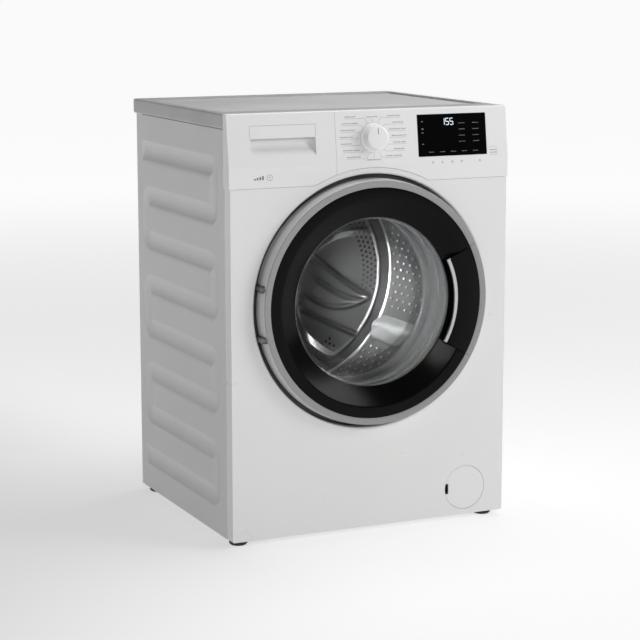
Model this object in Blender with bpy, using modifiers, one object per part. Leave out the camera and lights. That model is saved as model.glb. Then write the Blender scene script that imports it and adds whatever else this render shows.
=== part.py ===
"""Front loading washing machine, 600 x 840 mm, as a Blender scene.

Metres, +Z up, +Y to the rear. The origin is on the floor at the middle of the
machine's bounding box. Every sub-part is one closed object of its own.
"""

import math

import bmesh
import bpy
from mathutils import Matrix, Vector

# ---------------------------------------------------------------- dimensions
GAP = 0.0003  # between pieces that touch

WIDTH = 0.600
HEIGHT = 0.840
FRONT_Y = -0.250  # plane of the front panel
BODY_REAR_Y = 0.2626  # rear edge of the side panels
TOP_REAR_Y = 0.2765  # rear edge of the worktop
SIDE_X = 0.298  # outer face of the side panels
PANEL_BOTTOM_Z = 0.0135
SHEET = 0.0012  # sheet steel
RETURN_DEPTH = 0.028  # how far the front panel folds round to the side
SEAM_Z = 0.6988  # between front panel and fascia

FASCIA_CREASE_Z = 0.7391  # below it the fascia is upright, above it leans back
FASCIA_TOP_Y = -0.2369
FASCIA_REAR_Y = -0.2210
FASCIA_WALL = 0.0025
DRAWER_SEAM_X = -0.0763

TOP_BAND_Z = 0.810  # lower edge of the worktop's band
TOP_FRONT_Y = -0.2206
FIELD_X = 0.2832  # the recessed board of the worktop
FIELD_Y = (-0.1740, 0.2395)
FIELD_Z = 0.8365

AXIS_Z = 0.466  # height of the door, drum and tub axis
RECESS_R = 0.2510
RECESS_FLOOR_Y = -0.2260
MOUTH_R = 0.190  # opening in the floor of the recess
ARC_R = 0.2626  # front panel's rise into the fascia

DOOR_FACE_Y = -0.2765
DOOR_BAND_Y = -0.2753
DOOR_R = 0.2425
DOOR_FACE_R = 0.2400
SILVER_INNER_R = 0.2269
CREASE_R = 0.2050
GLASS_R = 0.1674
DOOR_REAR_Y = -0.2400
HINGE_X, HINGE_Y = -0.2395, -0.2640
HINGE_ARMS = (("lower", AXIS_Z - 0.056), ("upper", AXIS_Z + 0.042))  # height of each arm's middle
HINGE_ARM_HALF = 0.0032
HINGE_LUG = 0.0022  # thickness of each lug beside an arm
HINGE_NOTCH_HALF = 0.0066
HANDLE_ANGLES = (-30.2, 26.8)  # degrees, anticlockwise from +X as seen from the front
HANDLE_REAR_Y = -0.2690
HANDLE_AXIS_X = 0.2385

FILTER_X, FILTER_Z = 0.211, 0.0691
FLAP_R = 0.0447

FOOT_X = 0.272
FOOT_Y = (-0.213, 0.235)
FOOT_R = 0.018

GROOVE_TOP_Z = 0.7358  # middle of the first channel in the side panel
GROOVE_PITCH = 0.09276
GROOVE_HALF = 0.0200
GROOVE_COUNT = 8
GROOVE_DEPTH = 0.0040
GROOVE_FRONT_Y = -0.167  # middle of the upright links at the front
GROOVE_REAR_Y = 0.211  # and at the rear
GROOVE_STEPS = (-0.020, -0.013, -0.006, 0.006, 0.013, 0.020)  # grid lines across the channel

TUB_R = 0.262
TUB_WALL = 0.007
TUB_FRONT_Y = -0.168
TUB_REAR_Y = 0.165
COLLAR_R = 0.1805
DRUM_R = 0.240
DRUM_Y = (-0.150, 0.140)
DRUM_MOUTH_R = 0.165
DRUM_PULLEY_R = 0.145
MOTOR_PULLEY_R = 0.0115
BELT_Y = 0.225
BELT_WIDTH = 0.012
MOTOR_Z = 0.128
MOTOR_R = 0.052
SPRING_X, SPRING_Y = 0.240, 0.040
DAMPER_X, DAMPER_Y = 0.150, -0.030

KNOB_X = 0.0045
KNOB_S = 0.0465  # along the slanted face, from the crease
DISPLAY_X = (0.1005, 0.2535)
DISPLAY_S = (0.0060, 0.0887)

TRAY_X = (-0.2860, -0.0910)
TRAY_Z = (0.7420, 0.8030)
TRAY_Y = (-0.2250, -0.0150)

LEAN = math.atan2(FASCIA_TOP_Y - FRONT_Y, HEIGHT - FASCIA_CREASE_Z)

# ------------------------------------------------------------------- helpers
for old in list(bpy.data.objects):
    bpy.data.objects.remove(old, do_unlink=True)

PARTS = bpy.data.collections.new("front_load_washing_machine")
CUTTERS = bpy.data.collections.new("cutters")
bpy.context.scene.collection.children.link(PARTS)
bpy.context.scene.collection.children.link(CUTTERS)

TO_X = Matrix(((0, 0, 1, 0), (1, 0, 0, 0), (0, 1, 0, 0), (0, 0, 0, 1)))
TO_Y = Matrix(((1, 0, 0, 0), (0, 0, -1, 0), (0, 1, 0, 0), (0, 0, 0, 1)))
TO_Z = Matrix.Identity(4)
AXES = {"X": TO_X, "Y": TO_Y, "Z": TO_Z}


def look(name, colour, roughness, metallic=0.0, transmission=0.0):
    """A Principled material."""
    made = bpy.data.materials.new(name)
    made.use_nodes = True
    shader = made.node_tree.nodes["Principled BSDF"]
    shader.inputs["Base Color"].default_value = (*colour, 1.0)
    shader.inputs["Roughness"].default_value = roughness
    shader.inputs["Metallic"].default_value = metallic
    shader.inputs["Transmission Weight"].default_value = transmission
    return made


WHITE_PAINT = look("white_paint", (0.76, 0.76, 0.75), 0.35)
WHITE_PLASTIC = look("white_plastic", (0.80, 0.80, 0.79), 0.30)
WORKTOP = look("worktop", (0.62, 0.62, 0.61), 0.50)
SILVER = look("silver_ring", (0.42, 0.42, 0.43), 0.30, 0.6)
CHROME = look("chrome", (0.75, 0.75, 0.76), 0.12, 1.0)
BLACK_GLOSS = look("black_gloss", (0.010, 0.010, 0.011), 0.12)
BLACK_RUBBER = look("black_rubber", (0.015, 0.015, 0.015), 0.60)
GREY_RUBBER = look("grey_rubber", (0.22, 0.22, 0.23), 0.55)
GLASS = look("door_glass", (0.85, 0.87, 0.88), 0.03, 0.0, 0.9)
STEEL = look("stainless_steel", (0.58, 0.58, 0.59), 0.25, 1.0)
GALVANISED = look("galvanised_steel", (0.45, 0.46, 0.47), 0.45, 0.9)
ALUMINIUM = look("cast_aluminium", (0.55, 0.55, 0.56), 0.40, 0.9)
CONCRETE = look("concrete", (0.38, 0.37, 0.35), 0.90)
TUB_PLASTIC = look("tub_plastic", (0.55, 0.56, 0.57), 0.50)
GREY_PLASTIC = look("grey_plastic", (0.30, 0.31, 0.32), 0.45)
COPPER = look("copper_windings", (0.45, 0.20, 0.10), 0.45, 0.8)
GREEN_BOARD = look("circuit_board", (0.05, 0.20, 0.09), 0.50)


def add(name, mesh, material=None):
    """An object for the parts, or for the cutters when it has no material."""
    obj = bpy.data.objects.new(name, mesh)
    if material is None:
        CUTTERS.objects.link(obj)
        obj.hide_render = True
        obj.display_type = "WIRE"
    else:
        PARTS.objects.link(obj)
        mesh.materials.append(material)
    return obj


def mesh_of(name, build):
    """A mesh that build fills through bmesh."""
    made = bmesh.new()
    build(made)
    mesh = bpy.data.meshes.new(name)
    made.to_mesh(mesh)
    made.free()
    return mesh


def box(name, low, high, material=None):
    low, high = Vector(low), Vector(high)

    def build(made):
        bmesh.ops.create_cube(made, size=1.0)
        for vertex in made.verts:
            for i in range(3):
                vertex.co[i] = (low[i] + high[i]) / 2 + vertex.co[i] * (high[i] - low[i])

    return add(name, mesh_of(name, build), material)


def rod(name, radius, start, end, material=None, sides=24, end_radius=None):
    """A round bar, or a cone with end_radius, between two points."""
    start, end = Vector(start), Vector(end)
    along = end - start
    turn = along.to_track_quat("Z", "Y").to_matrix().to_4x4()

    def build(made):
        bmesh.ops.create_cone(
            made,
            cap_ends=True,
            segments=sides,
            radius1=radius,
            radius2=radius if end_radius is None else end_radius,
            depth=along.length,
            matrix=Matrix.Translation((start + end) / 2) @ turn,
        )

    obj = add(name, mesh_of(name, build), material)
    obj.data.shade_smooth()
    obj.data.set_sharp_from_angle(angle=math.radians(40))
    return obj


def slab(name, outline, axis, low, high, material=None):
    """A flat outline given thickness along an axis.

    The outline is in (y, z) for X, in (x, z) for Y and in (x, y) for Z.
    """
    curve = bpy.data.curves.new(name, "CURVE")
    curve.dimensions = "2D"
    curve.fill_mode = "BOTH"
    curve.extrude = (high - low) / 2
    spline = curve.splines.new("POLY")
    spline.points.add(len(outline) - 1)
    for point, (u, v) in zip(spline.points, outline):
        point.co = (u, v, 0, 1)
    spline.use_cyclic_u = True
    middle = (low + high) / 2
    lift = Matrix.Translation((0, 0, -middle if axis == "Y" else middle))
    return solid_from_curve(name, curve, AXES[axis] @ lift, material)


def solid_from_curve(name, curve, matrix, material):
    """The curve's surface as a mesh, with its caps welded on."""
    guide = bpy.data.objects.new(name + "_curve", curve)
    bpy.context.scene.collection.objects.link(guide)
    graph = bpy.context.evaluated_depsgraph_get()
    mesh = bpy.data.meshes.new_from_object(guide.evaluated_get(graph))
    bpy.data.objects.remove(guide, do_unlink=True)
    made = bmesh.new()
    made.from_mesh(mesh)
    bmesh.ops.remove_doubles(made, verts=made.verts, dist=0.00001)
    bmesh.ops.recalc_face_normals(made, faces=made.faces)
    made.to_mesh(mesh)
    made.free()
    mesh.transform(matrix)
    mesh.name = name
    mesh.materials.clear()
    return add(name, mesh, material)


def tube(name, points, radius, material=None, resolution=2, closed=False):
    """A round tube along points."""
    curve = bpy.data.curves.new(name, "CURVE")
    curve.dimensions = "3D"
    curve.bevel_depth = radius
    curve.bevel_resolution = resolution
    curve.use_fill_caps = not closed
    spline = curve.splines.new("POLY")
    spline.points.add(len(points) - 1)
    for point, place in zip(spline.points, points):
        point.co = (*place, 1)
    spline.use_cyclic_u = closed
    obj = solid_from_curve(name, curve, TO_Z, material)
    obj.data.shade_smooth()
    return obj


def smooth_path(points, count):
    """Points along a smooth curve through the given ones."""
    places = [Vector(p) for p in points]
    places = [2 * places[0] - places[1], *places, 2 * places[-1] - places[-2]]
    path = []
    for i in range(count):
        at = i / (count - 1) * (len(points) - 1)
        k = min(int(at), len(points) - 2)
        t = at - k
        a, b, c, d = places[k : k + 4]
        path.append(
            0.5 * (2 * b + (c - a) * t + (2 * a - 5 * b + 4 * c - d) * t**2 + (3 * b - a - 3 * c + d) * t**3)
        )
    return path


def turned(name, profile, material=None, axis="Y", centre=(0.0, AXIS_Z), steps=36, open_ends=False):
    """A profile of (radius, place along the axis) turned round an axis.

    centre is (x, z) for an axis along Y and (x, y) for one along Z. With open_ends the
    profile starts and ends on the axis.
    """
    points = [(r, -at if axis == "Y" else at) for r, at in profile]
    ring = points + points[:1]
    area = sum(a[0] * b[1] - b[0] * a[1] for a, b in zip(ring, ring[1:]))
    if area > 0:  # the outer side has to run downwards
        points.reverse()
    mesh = bpy.data.meshes.new(name)
    edges = [(i, i + 1) for i in range(len(points) - 1)]
    if not open_ends:
        edges.append((len(points) - 1, 0))
    mesh.from_pydata([(r, 0, h) for r, h in points], edges, [])
    obj = add(name, mesh, material)
    if axis == "Y":
        obj.location = (centre[0], 0, centre[1])
        obj.rotation_euler = (math.pi / 2, 0, 0)
    else:
        obj.location = (centre[0], centre[1], 0)
    screw = obj.modifiers.new("turn", "SCREW")
    screw.steps = screw.render_steps = steps
    screw.use_merge_vertices = True
    screw.merge_threshold = 0.00005
    return obj


def combine(obj, other, operation):
    change = obj.modifiers.new(other.name, "BOOLEAN")
    change.operation = operation
    change.solver = "EXACT"
    change.object = other
    return obj


def cut(obj, *others):
    for other in others:
        combine(obj, other, "DIFFERENCE")
    return obj


def join(obj, *others):
    for other in others:
        combine(obj, other, "UNION")
    return obj


def bevel(obj, width, segments=2, angle=40):
    rounding = obj.modifiers.new("edges", "BEVEL")
    rounding.width = width
    rounding.segments = segments
    rounding.limit_method = "ANGLE"
    rounding.angle_limit = math.radians(angle)
    return obj


def origin_at(obj, point):
    """Moves an unturned object's origin without moving its shape."""
    point = Vector(point)
    obj.data.transform(Matrix.Translation(obj.location - point))
    obj.location = point
    return obj


def arc(radius, start, end, count, centre=(0.0, 0.0)):
    """count points on an arc, angles in degrees."""
    turns = [math.radians(start + (end - start) * i / (count - 1)) for i in range(count)]
    return [(centre[0] + radius * math.cos(a), centre[1] + radius * math.sin(a)) for a in turns]


def on_face(s, depth=0.0):
    """(y, z) of a place on the leaning part of the fascia, s up from the crease."""
    y = FRONT_Y + s * math.sin(LEAN) + depth * math.cos(LEAN)
    z = FASCIA_CREASE_Z + s * math.cos(LEAN) - depth * math.sin(LEAN)
    return y, z


def face_slab(name, x_range, s_range, depth_range, material=None):
    """A block square to the leaning face."""
    corners = [
        on_face(s_range[0], depth_range[0]),
        on_face(s_range[0], depth_range[1]),
        on_face(s_range[1], depth_range[1]),
        on_face(s_range[1], depth_range[0]),
    ]
    return slab(name, corners, "X", x_range[0], x_range[1], material)


def wedge(name, angles, y_range, reach=0.30, start=0.0):
    """A sector of the door, as a cutter between two angles."""
    low, high = (math.radians(a) for a in angles)
    far = reach / math.cos((high - low) / 2)
    outline = [(start * math.cos(a), AXIS_Z + start * math.sin(a)) for a in (high, low)]
    if start == 0.0:
        outline = outline[:1]
    outline += [(far * math.cos(a), AXIS_Z + far * math.sin(a)) for a in (low, high)]
    return slab(name, outline, "Y", y_range[0], y_range[1])


# ------------------------------------------------------------------- cabinet
def groove_depth(y, z):
    """How far the side panel is pressed in: one round-bottomed channel that winds down the panel."""
    nearest = GROOVE_HALF
    for k in range(GROOVE_COUNT):
        middle = GROOVE_TOP_Z - k * GROOVE_PITCH
        beyond = max(0.0, GROOVE_FRONT_Y - y, y - GROOVE_REAR_Y)
        nearest = min(nearest, max(abs(z - middle), beyond))
        if k + 1 < GROOVE_COUNT:
            link = GROOVE_REAR_Y if k % 2 else GROOVE_FRONT_Y
            beyond = max(0.0, z - middle, middle - GROOVE_PITCH - z)
            nearest = min(nearest, max(abs(y - link), beyond))
    return GROOVE_DEPTH * (1 - (nearest / GROOVE_HALF) ** 2)


def side_panel(name, side):
    """A sheet whose grid lines follow the pressed channel."""
    ys = [FRONT_Y + RETURN_DEPTH + 0.001]
    for link in (GROOVE_FRONT_Y, GROOVE_REAR_Y):
        ys += [link + step for step in GROOVE_STEPS]
    ys.append(BODY_REAR_Y)
    zs = [PANEL_BOTTOM_Z]
    for k in reversed(range(GROOVE_COUNT)):
        zs += [GROOVE_TOP_Z - k * GROOVE_PITCH + step for step in GROOVE_STEPS]
    zs.append(TOP_BAND_Z - GAP)

    def build(made):
        rows = [[made.verts.new((side * (SIDE_X - groove_depth(y, z)), y, z)) for y in ys] for z in zs]
        for lower, upper in zip(rows, rows[1:]):
            for a, b, c, d in zip(lower, lower[1:], upper[1:], upper):
                made.faces.new((a, b, c, d) if side > 0 else (d, c, b, a))
        bmesh.ops.triangulate(made, faces=made.faces)

    obj = add(name, mesh_of(name, build), WHITE_PAINT)
    shell = obj.modifiers.new("sheet", "SOLIDIFY")
    shell.thickness = SHEET
    shell.offset = -1
    shell.use_even_offset = True
    return obj


def front_outline(grow=0.0):
    """(x, z) of the front panel: a rectangle with an arc rising over the door."""
    side, bottom, top = SIDE_X + grow, PANEL_BOTTOM_Z - grow, SEAM_Z + grow
    radius = ARC_R + grow
    start = math.degrees(math.asin((top - AXIS_Z) / radius))
    rise = arc(radius, start, 180 - start, 17, (0, AXIS_Z))
    return [(-side, bottom), (side, bottom), (side, top), *rise, (-side, top)]


def front_panel():
    """A pressed sheet folded back all round, with the door recess as a cup behind it."""
    obj = slab("front_panel", front_outline(), "Y", FRONT_Y, FRONT_Y + RETURN_DEPTH, WHITE_PAINT)
    cut(obj, slab("cut_front_inside", front_outline(-SHEET), "Y", FRONT_Y + SHEET, 0.0))
    recess_back = RECESS_FLOOR_Y + SHEET
    cup = [
        (MOUTH_R - 0.004, FRONT_Y + SHEET / 2),
        (RECESS_R + SHEET, FRONT_Y + SHEET / 2),
        (RECESS_R + SHEET, recess_back),
        (MOUTH_R - 0.004, recess_back),
    ]
    join(obj, turned("cut_recess_cup", cup, steps=48))
    hollow = [
        (0.0, FRONT_Y - 0.01),
        (RECESS_R + 0.006, FRONT_Y - 0.01),
        (RECESS_R + 0.0015, FRONT_Y),
        (RECESS_R, FRONT_Y + 0.0015),
        (RECESS_R, RECESS_FLOOR_Y),
        (MOUTH_R, RECESS_FLOOR_Y),
        (MOUTH_R, recess_back + 0.002),
        (0.0, recess_back + 0.002),
    ]
    cut(obj, turned("cut_recess", hollow, steps=48, open_ends=True))
    hole = rod(
        "cut_filter_hole",
        FLAP_R + 0.0005,
        (FILTER_X, FRONT_Y - 0.01, FILTER_Z),
        (FILTER_X, FRONT_Y + 0.01, FILTER_Z),
        sides=40,
    )
    slot = box("cut_lock_slot", (0.2110, -0.24, AXIS_Z - 0.0100), (0.2270, -0.20, AXIS_Z + 0.0100))
    return cut(obj, hole, slot)


def base_tray():
    """The floor pan with a low rim and four sockets for the feet."""
    rear = 0.2508
    low_z = PANEL_BOTTOM_Z + SHEET + GAP
    obj = box("base_tray", (-0.2925, -0.2215, low_z), (0.2925, rear, low_z + 0.012), GALVANISED)
    inside = box("cut_tray", (-0.2900, -0.2190, low_z + 0.002), (0.2900, rear - 0.0025, 0.1))
    cut(obj, inside)
    for side in (-1, 1):
        for y in FOOT_Y:
            x = side * FOOT_X
            boss = rod(f"cut_socket_{side}_{y}", 0.0075, (x, y, low_z + 0.001), (x, y, 0.052), sides=16)
            join(obj, boss)
            bore = rod(f"cut_bore_{side}_{y}", 0.0053, (x, y, 0.0), (x, y, 0.06), sides=16)
            cut(obj, bore)
    return obj


def leveling_foot(name, x, y):
    """A rubber pad with a nut and a threaded stem that runs up into its socket."""
    profile = [
        (0, 0),
        (FOOT_R - 0.003, 0),
        (FOOT_R, 0.003),
        (FOOT_R, 0.0075),
        (0.0105, 0.0085),
        (0.0105, 0.0128),
        (0.0050, 0.0128),
        (0.0050, 0.0450),
        (0, 0.0450),
    ]
    return turned(name, profile, BLACK_RUBBER, "Z", (x, y), 16, open_ends=True)


def rear_panel():
    """The back sheet with its access opening and the holes for valve, drain and gland."""
    front = 0.2514
    obj = box("rear_panel", (-0.2964, front, 0.0150), (0.2964, front + SHEET, 0.8085), GALVANISED)
    opening = rod("cut_rear_opening", 0.170, (0, front - 0.02, AXIS_Z), (0, front + 0.02, AXIS_Z), sides=32)
    lower = box("cut_rear_lower", (-0.08, front - 0.02, 0.10), (0.08, front + 0.02, 0.38))
    cut(obj, join(opening, lower))
    holes = [("valve", -0.200, 0.765, 0.0160), ("drain", 0.235, 0.700, 0.0140)]
    holes.append(("gland", 0.235, 0.560, 0.0085))
    for name, x, z, radius in holes:
        cut(obj, rod(f"cut_rear_{name}", radius, (x, front - 0.02, z), (x, front + 0.02, z), sides=20))
    return obj


def rear_access_cover():
    """The pressed cover behind belt and pulley, outside the back sheet."""
    front = 0.2514 + SHEET + GAP
    obj = rod("rear_access_cover", 0.182, (0, front, AXIS_Z), (0, front + SHEET, AXIS_Z), GALVANISED, 32)
    obj.data.shade_flat()
    foot = box("cut_cover_foot", (-0.092, front, 0.088), (0.092, front + SHEET, 0.38))
    ends = (0, front + SHEET / 2, AXIS_Z), (0, front + 0.006, AXIS_Z)
    dome = rod("cut_cover_dome", 0.155, *ends, sides=32, end_radius=0.149)
    ends = (0, front - 0.002, AXIS_Z), (0, front + 0.0048, AXIS_Z)
    inside = rod("cut_cover_inside", 0.1535, *ends, sides=32, end_radius=0.1475)
    return cut(join(obj, foot, dome), inside)


def top_crossbar():
    """A channel across the cabinet that the tub's springs hang from."""
    low, high = (-0.2960, SPRING_Y - 0.020, 0.7880), (0.2960, SPRING_Y + 0.020, 0.8090)
    obj = box("top_crossbar", low, high, GALVANISED)
    inside = box("cut_crossbar", (-0.30, low[1] + 0.002, 0.70), (0.30, high[1] - 0.002, high[2] - 0.002))
    cut(obj, inside)
    for side in (-1, 1):
        x = side * SPRING_X
        low_hook, high_hook = (x - 0.010, low[1] + 0.001, 0.800), (x + 0.010, high[1] - 0.001, 0.8075)
        join(obj, box(f"cut_crossbar_seat_{side}", low_hook, high_hook))
    return obj


def worktop_frame():
    """The band round the worktop, with a pocket for the board."""
    obj = box(
        "worktop_frame", (-WIDTH / 2, TOP_FRONT_Y, TOP_BAND_Z), (WIDTH / 2, TOP_REAR_Y, HEIGHT), WHITE_PLASTIC
    )
    bevel(obj, 0.003, 2)
    pocket = box(
        "cut_board_pocket",
        (-FIELD_X - GAP, FIELD_Y[0] - GAP, 0.8200),
        (FIELD_X + GAP, FIELD_Y[1] + GAP, HEIGHT + 0.01),
    )
    through = box("cut_board_through", (-0.2740, -0.1640, 0.80), (0.2740, 0.2300, 0.83))
    body = box("cut_band_inside", (-SIDE_X - GAP, -0.23, 0.80), (SIDE_X + GAP, BODY_REAR_Y + GAP, 0.8105))
    return cut(obj, pocket, through, body)


def worktop_board():
    low = (-FIELD_X, FIELD_Y[0], 0.8200 + GAP)
    return box("worktop_board", low, (FIELD_X, FIELD_Y[1], FIELD_Z), WORKTOP)


# -------------------------------------------------------------------- fascia
def fascia_outline(inset=0.0):
    """(y, z) of the fascia's section; inset moves the front and top inwards."""
    top = HEIGHT - inset
    return [
        (FRONT_Y + inset, SEAM_Z - 0.01 if inset else SEAM_Z + GAP),
        (FRONT_Y + inset, FASCIA_CREASE_Z),
        (FASCIA_TOP_Y + inset, top),
        (FASCIA_REAR_Y + (0.02 if inset else 0), top),
        (FASCIA_REAR_Y + (0.02 if inset else 0), SEAM_Z - 0.01 if inset else SEAM_Z + GAP),
    ]


def fascia_piece(name, low_x, high_x, walls):
    """A length of the fascia hollowed from behind; walls are the thicknesses left at its ends."""
    obj = slab(name, fascia_outline(), "X", low_x, high_x, WHITE_PLASTIC)
    clear = ARC_R + 0.0006
    arc_cutter = rod(f"cut_arc_{name}", clear, (0, -0.3, AXIS_Z), (0, -0.2, AXIS_Z), sides=72)
    inside = slab(
        f"cut_inside_{name}", fascia_outline(FASCIA_WALL), "X", low_x + walls[0], high_x - walls[1]
    )
    keep = rod(f"cut_keep_{name}", clear + FASCIA_WALL, (0, -0.3, AXIS_Z), (0, -0.1, AXIS_Z), sides=72)
    floor = box(f"cut_floor_{name}", (-0.4, -0.3, 0.6), (0.4, -0.1, SEAM_Z + GAP + FASCIA_WALL))
    cut(inside, keep, floor)
    return cut(obj, arc_cutter, inside)


def control_fascia():
    """The right part of the fascia and the wall behind the drawer front."""
    obj = fascia_piece("control_fascia", DRAWER_SEAM_X + GAP, WIDTH / 2, (FASCIA_WALL, FASCIA_WALL))
    corner = (DRAWER_SEAM_X + 0.004, FASCIA_REAR_Y, HEIGHT - 0.004)
    back_wall = box("cut_back_wall", (-0.2965, -0.2245, SEAM_Z + 0.004), corner)
    arc_cutter = rod("cut_arc_wall", ARC_R + 0.0031, (0, -0.3, AXIS_Z), (0, -0.2, AXIS_Z), sides=72)
    opening = box(
        "cut_tray_opening",
        (TRAY_X[0] - 0.001, -0.3, TRAY_Z[0] - 0.001),
        (TRAY_X[1] + 0.001, -0.2, TRAY_Z[1] + 0.001),
    )
    join(obj, cut(back_wall, arc_cutter, opening))
    depth = 0.0015
    pocket = face_slab("cut_display_pocket", DISPLAY_X, DISPLAY_S, (-0.01, depth))
    y, z = on_face(KNOB_S, -0.01)
    inner_y, inner_z = on_face(KNOB_S, 0.01)
    bore = rod("cut_knob_bore", 0.0040, (KNOB_X, y, z), (KNOB_X, inner_y, inner_z), sides=20)
    return cut(obj, pocket, bore)


def display_window():
    x_range = (DISPLAY_X[0] + GAP, DISPLAY_X[1] - GAP)
    s_range = (DISPLAY_S[0] + GAP, DISPLAY_S[1] - GAP)
    return face_slab("display_window", x_range, s_range, (0.0, 0.0012), BLACK_GLOSS)


def control_board():
    """The circuit board behind the fascia."""
    y, z = on_face(KNOB_S, -0.01)
    inner_y, inner_z = on_face(KNOB_S, 0.02)
    obj = face_slab("control_board", (-0.055, 0.275), (0.012, 0.082), (0.0075, 0.0095), GREEN_BOARD)
    encoder = face_slab(
        "cut_encoder", (KNOB_X - 0.009, KNOB_X + 0.009), (KNOB_S - 0.009, KNOB_S + 0.009), (0.0050, 0.0080)
    )
    bore = rod("cut_encoder_bore", 0.0040, (KNOB_X, y, z), (KNOB_X, inner_y, inner_z), sides=20)
    return cut(join(obj, encoder), bore)


def programme_knob():
    """A turned knob with a skirt; its shaft runs into the encoder."""
    profile = [
        (0, -0.0225),
        (0.0222, -0.0225),
        (0.0233, -0.0212),
        (0.0240, -0.0045),
        (0.0285, -0.0030),
        (0.0285, -0.0008),
        (0.0035, -0.0008),
        (0.0035, 0.0120),
        (0, 0.0120),
    ]
    obj = turned("programme_knob", profile, SILVER, steps=28, open_ends=True)
    y, z = on_face(KNOB_S)
    obj.location = (KNOB_X, y, z)
    obj.rotation_euler = (math.pi / 2 - LEAN, 0, 0)
    return obj


def drawer_front():
    """The left part of the fascia, with a scoop below a grip bar."""
    obj = fascia_piece("drawer_front", -WIDTH / 2, DRAWER_SEAM_X - GAP, (FASCIA_WALL, FASCIA_WALL))
    cup = face_slab("cut_scoop_cup", (-0.2560, -0.1165), (0.0160, 0.0800), (0.0010, 0.0165))
    join(obj, cup)
    scoop = [
        (0.0180, -0.0010),
        (0.0180, 0.0001),
        (0.0300, 0.0065),
        (0.0420, 0.0115),
        (0.0560, 0.0140),
        (0.0700, 0.0140),
        (0.0735, 0.0095),
        (0.0720, 0.0045),
        (0.0545, 0.0045),
        (0.0545, -0.0010),
    ]
    hollow = slab("cut_scoop", [on_face(s, depth) for s, depth in scoop], "X", -0.2540, -0.1185)
    behind = box("cut_behind_drawer", (-0.4, -0.2248 - GAP, 0.6), (0.0, -0.1, 0.9))
    keep_return = box("cut_keep_return", (-0.4, -0.3, 0.6), (-0.2968 - GAP, FASCIA_REAR_Y, 0.9))
    cut(behind, keep_return)
    origin_at(obj, (-0.188, FRONT_Y, 0.77))
    return cut(obj, hollow, behind)


def drawer_tray():
    """Three open compartments behind the drawer front."""
    front, rear = TRAY_Y
    obj = box("drawer_tray", (TRAY_X[0], front, TRAY_Z[0]), (TRAY_X[1], rear, TRAY_Z[1]), WHITE_PLASTIC)
    wall = 0.0025
    split = (TRAY_X[0] + 0.062, TRAY_X[0] + 0.124)
    edges = [TRAY_X[0] + wall / 2, *split, TRAY_X[1] - wall / 2]
    for k, (low, high) in enumerate(zip(edges, edges[1:])):
        pocket = box(
            f"cut_compartment_{k}",
            (low + wall / 2, front + 0.004, TRAY_Z[0] + 0.0030),
            (high - wall / 2, rear - wall, TRAY_Z[1] + 0.01),
        )
        cut(obj, pocket)
    return origin_at(obj, (-0.188, FRONT_Y, 0.77))


def dispenser_housing():
    """The box that the drawer slides in, and its water arm to the valve."""
    low, high = (-0.2922, -0.2205, 0.7370), (-0.0840, 0.0080, 0.8090)
    obj = box("dispenser_housing", low, high, TUB_PLASTIC)
    inside = box("cut_housing", (-0.2880, -0.23, 0.7400), (-0.0880, 0.0050, 0.8060))
    arm = box("cut_water_arm", (-0.215, 0.0060, 0.7500), (-0.185, 0.2000, 0.7800))
    spout = rod("cut_spout", 0.0140, (-0.140, -0.020, 0.7380), (-0.140, -0.020, 0.7200), sides=20)
    bore = rod("cut_spout_bore", 0.0110, (-0.140, -0.020, 0.7450), (-0.140, -0.020, 0.7100), sides=20)
    return cut(join(obj, arm, spout), inside, bore)


def water_inlet_valve():
    """The solenoid valve whose threaded inlet stands out of the back sheet."""
    obj = box("water_inlet_valve", (-0.222, 0.2003, 0.7420), (-0.178, 0.2420, 0.7880), GREY_PLASTIC)
    bevel(obj, 0.002, 1)
    thread = rod("cut_inlet_thread", 0.0130, (-0.200, 0.2400, 0.765), (-0.200, 0.2700, 0.765), sides=24)
    bore = rod("cut_inlet_bore", 0.0085, (-0.200, 0.2550, 0.765), (-0.200, 0.2800, 0.765), sides=24)
    return cut(join(obj, thread), bore)


def drain_outlet_elbow():
    """The drain stub at the back where a hose would go on."""
    obj = rod("drain_outlet_elbow", 0.0120, (0.235, 0.2250, 0.700), (0.235, 0.2745, 0.700), GREY_PLASTIC, 16)
    flange = rod("cut_drain_flange", 0.0190, (0.235, 0.2532, 0.700), (0.235, 0.2560, 0.700), sides=16)
    bore = rod("cut_drain_bore", 0.0090, (0.235, 0.2400, 0.700), (0.235, 0.2800, 0.700), sides=16)
    return cut(join(obj, flange), bore)


def cable_gland():
    """The strain relief where a mains lead would leave the back."""
    obj = rod("cable_gland", 0.0080, (0.235, 0.2440, 0.560), (0.235, 0.2720, 0.560), BLACK_RUBBER, 12)
    flange = rod("cut_gland_flange", 0.0130, (0.235, 0.2532, 0.560), (0.235, 0.2562, 0.560), sides=12)
    bore = rod("cut_gland_bore", 0.0045, (0.235, 0.2200, 0.560), (0.235, 0.3000, 0.560), sides=12)
    return cut(join(obj, flange), bore)


# ---------------------------------------------------------------------- door
def handle_cutter(name, slack, rear_y, inner_r):
    """The sector that the handle takes out of the door, down to rear_y."""
    low, high = HANDLE_ANGLES
    edge = math.degrees(slack / DOOR_FACE_R)
    sector = wedge(name, (low - edge, high + edge), (-0.30, rear_y))
    core = rod(name + "_core", inner_r, (0, -0.31, AXIS_Z), (0, -0.20, AXIS_Z), sides=48)
    return cut(sector, core)


def hinge_notches(name, inner_x):
    """Cutters for the two notches in the door's edge that clear the hinge lugs."""
    notches = []
    for label, z in HINGE_ARMS:
        low = (-0.2600, HINGE_Y - 0.0050, z - HINGE_NOTCH_HALF)
        notches.append(box(f"cut_{name}_{label}", low, (inner_x, -0.20, z + HINGE_NOTCH_HALF)))
    return notches


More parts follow.
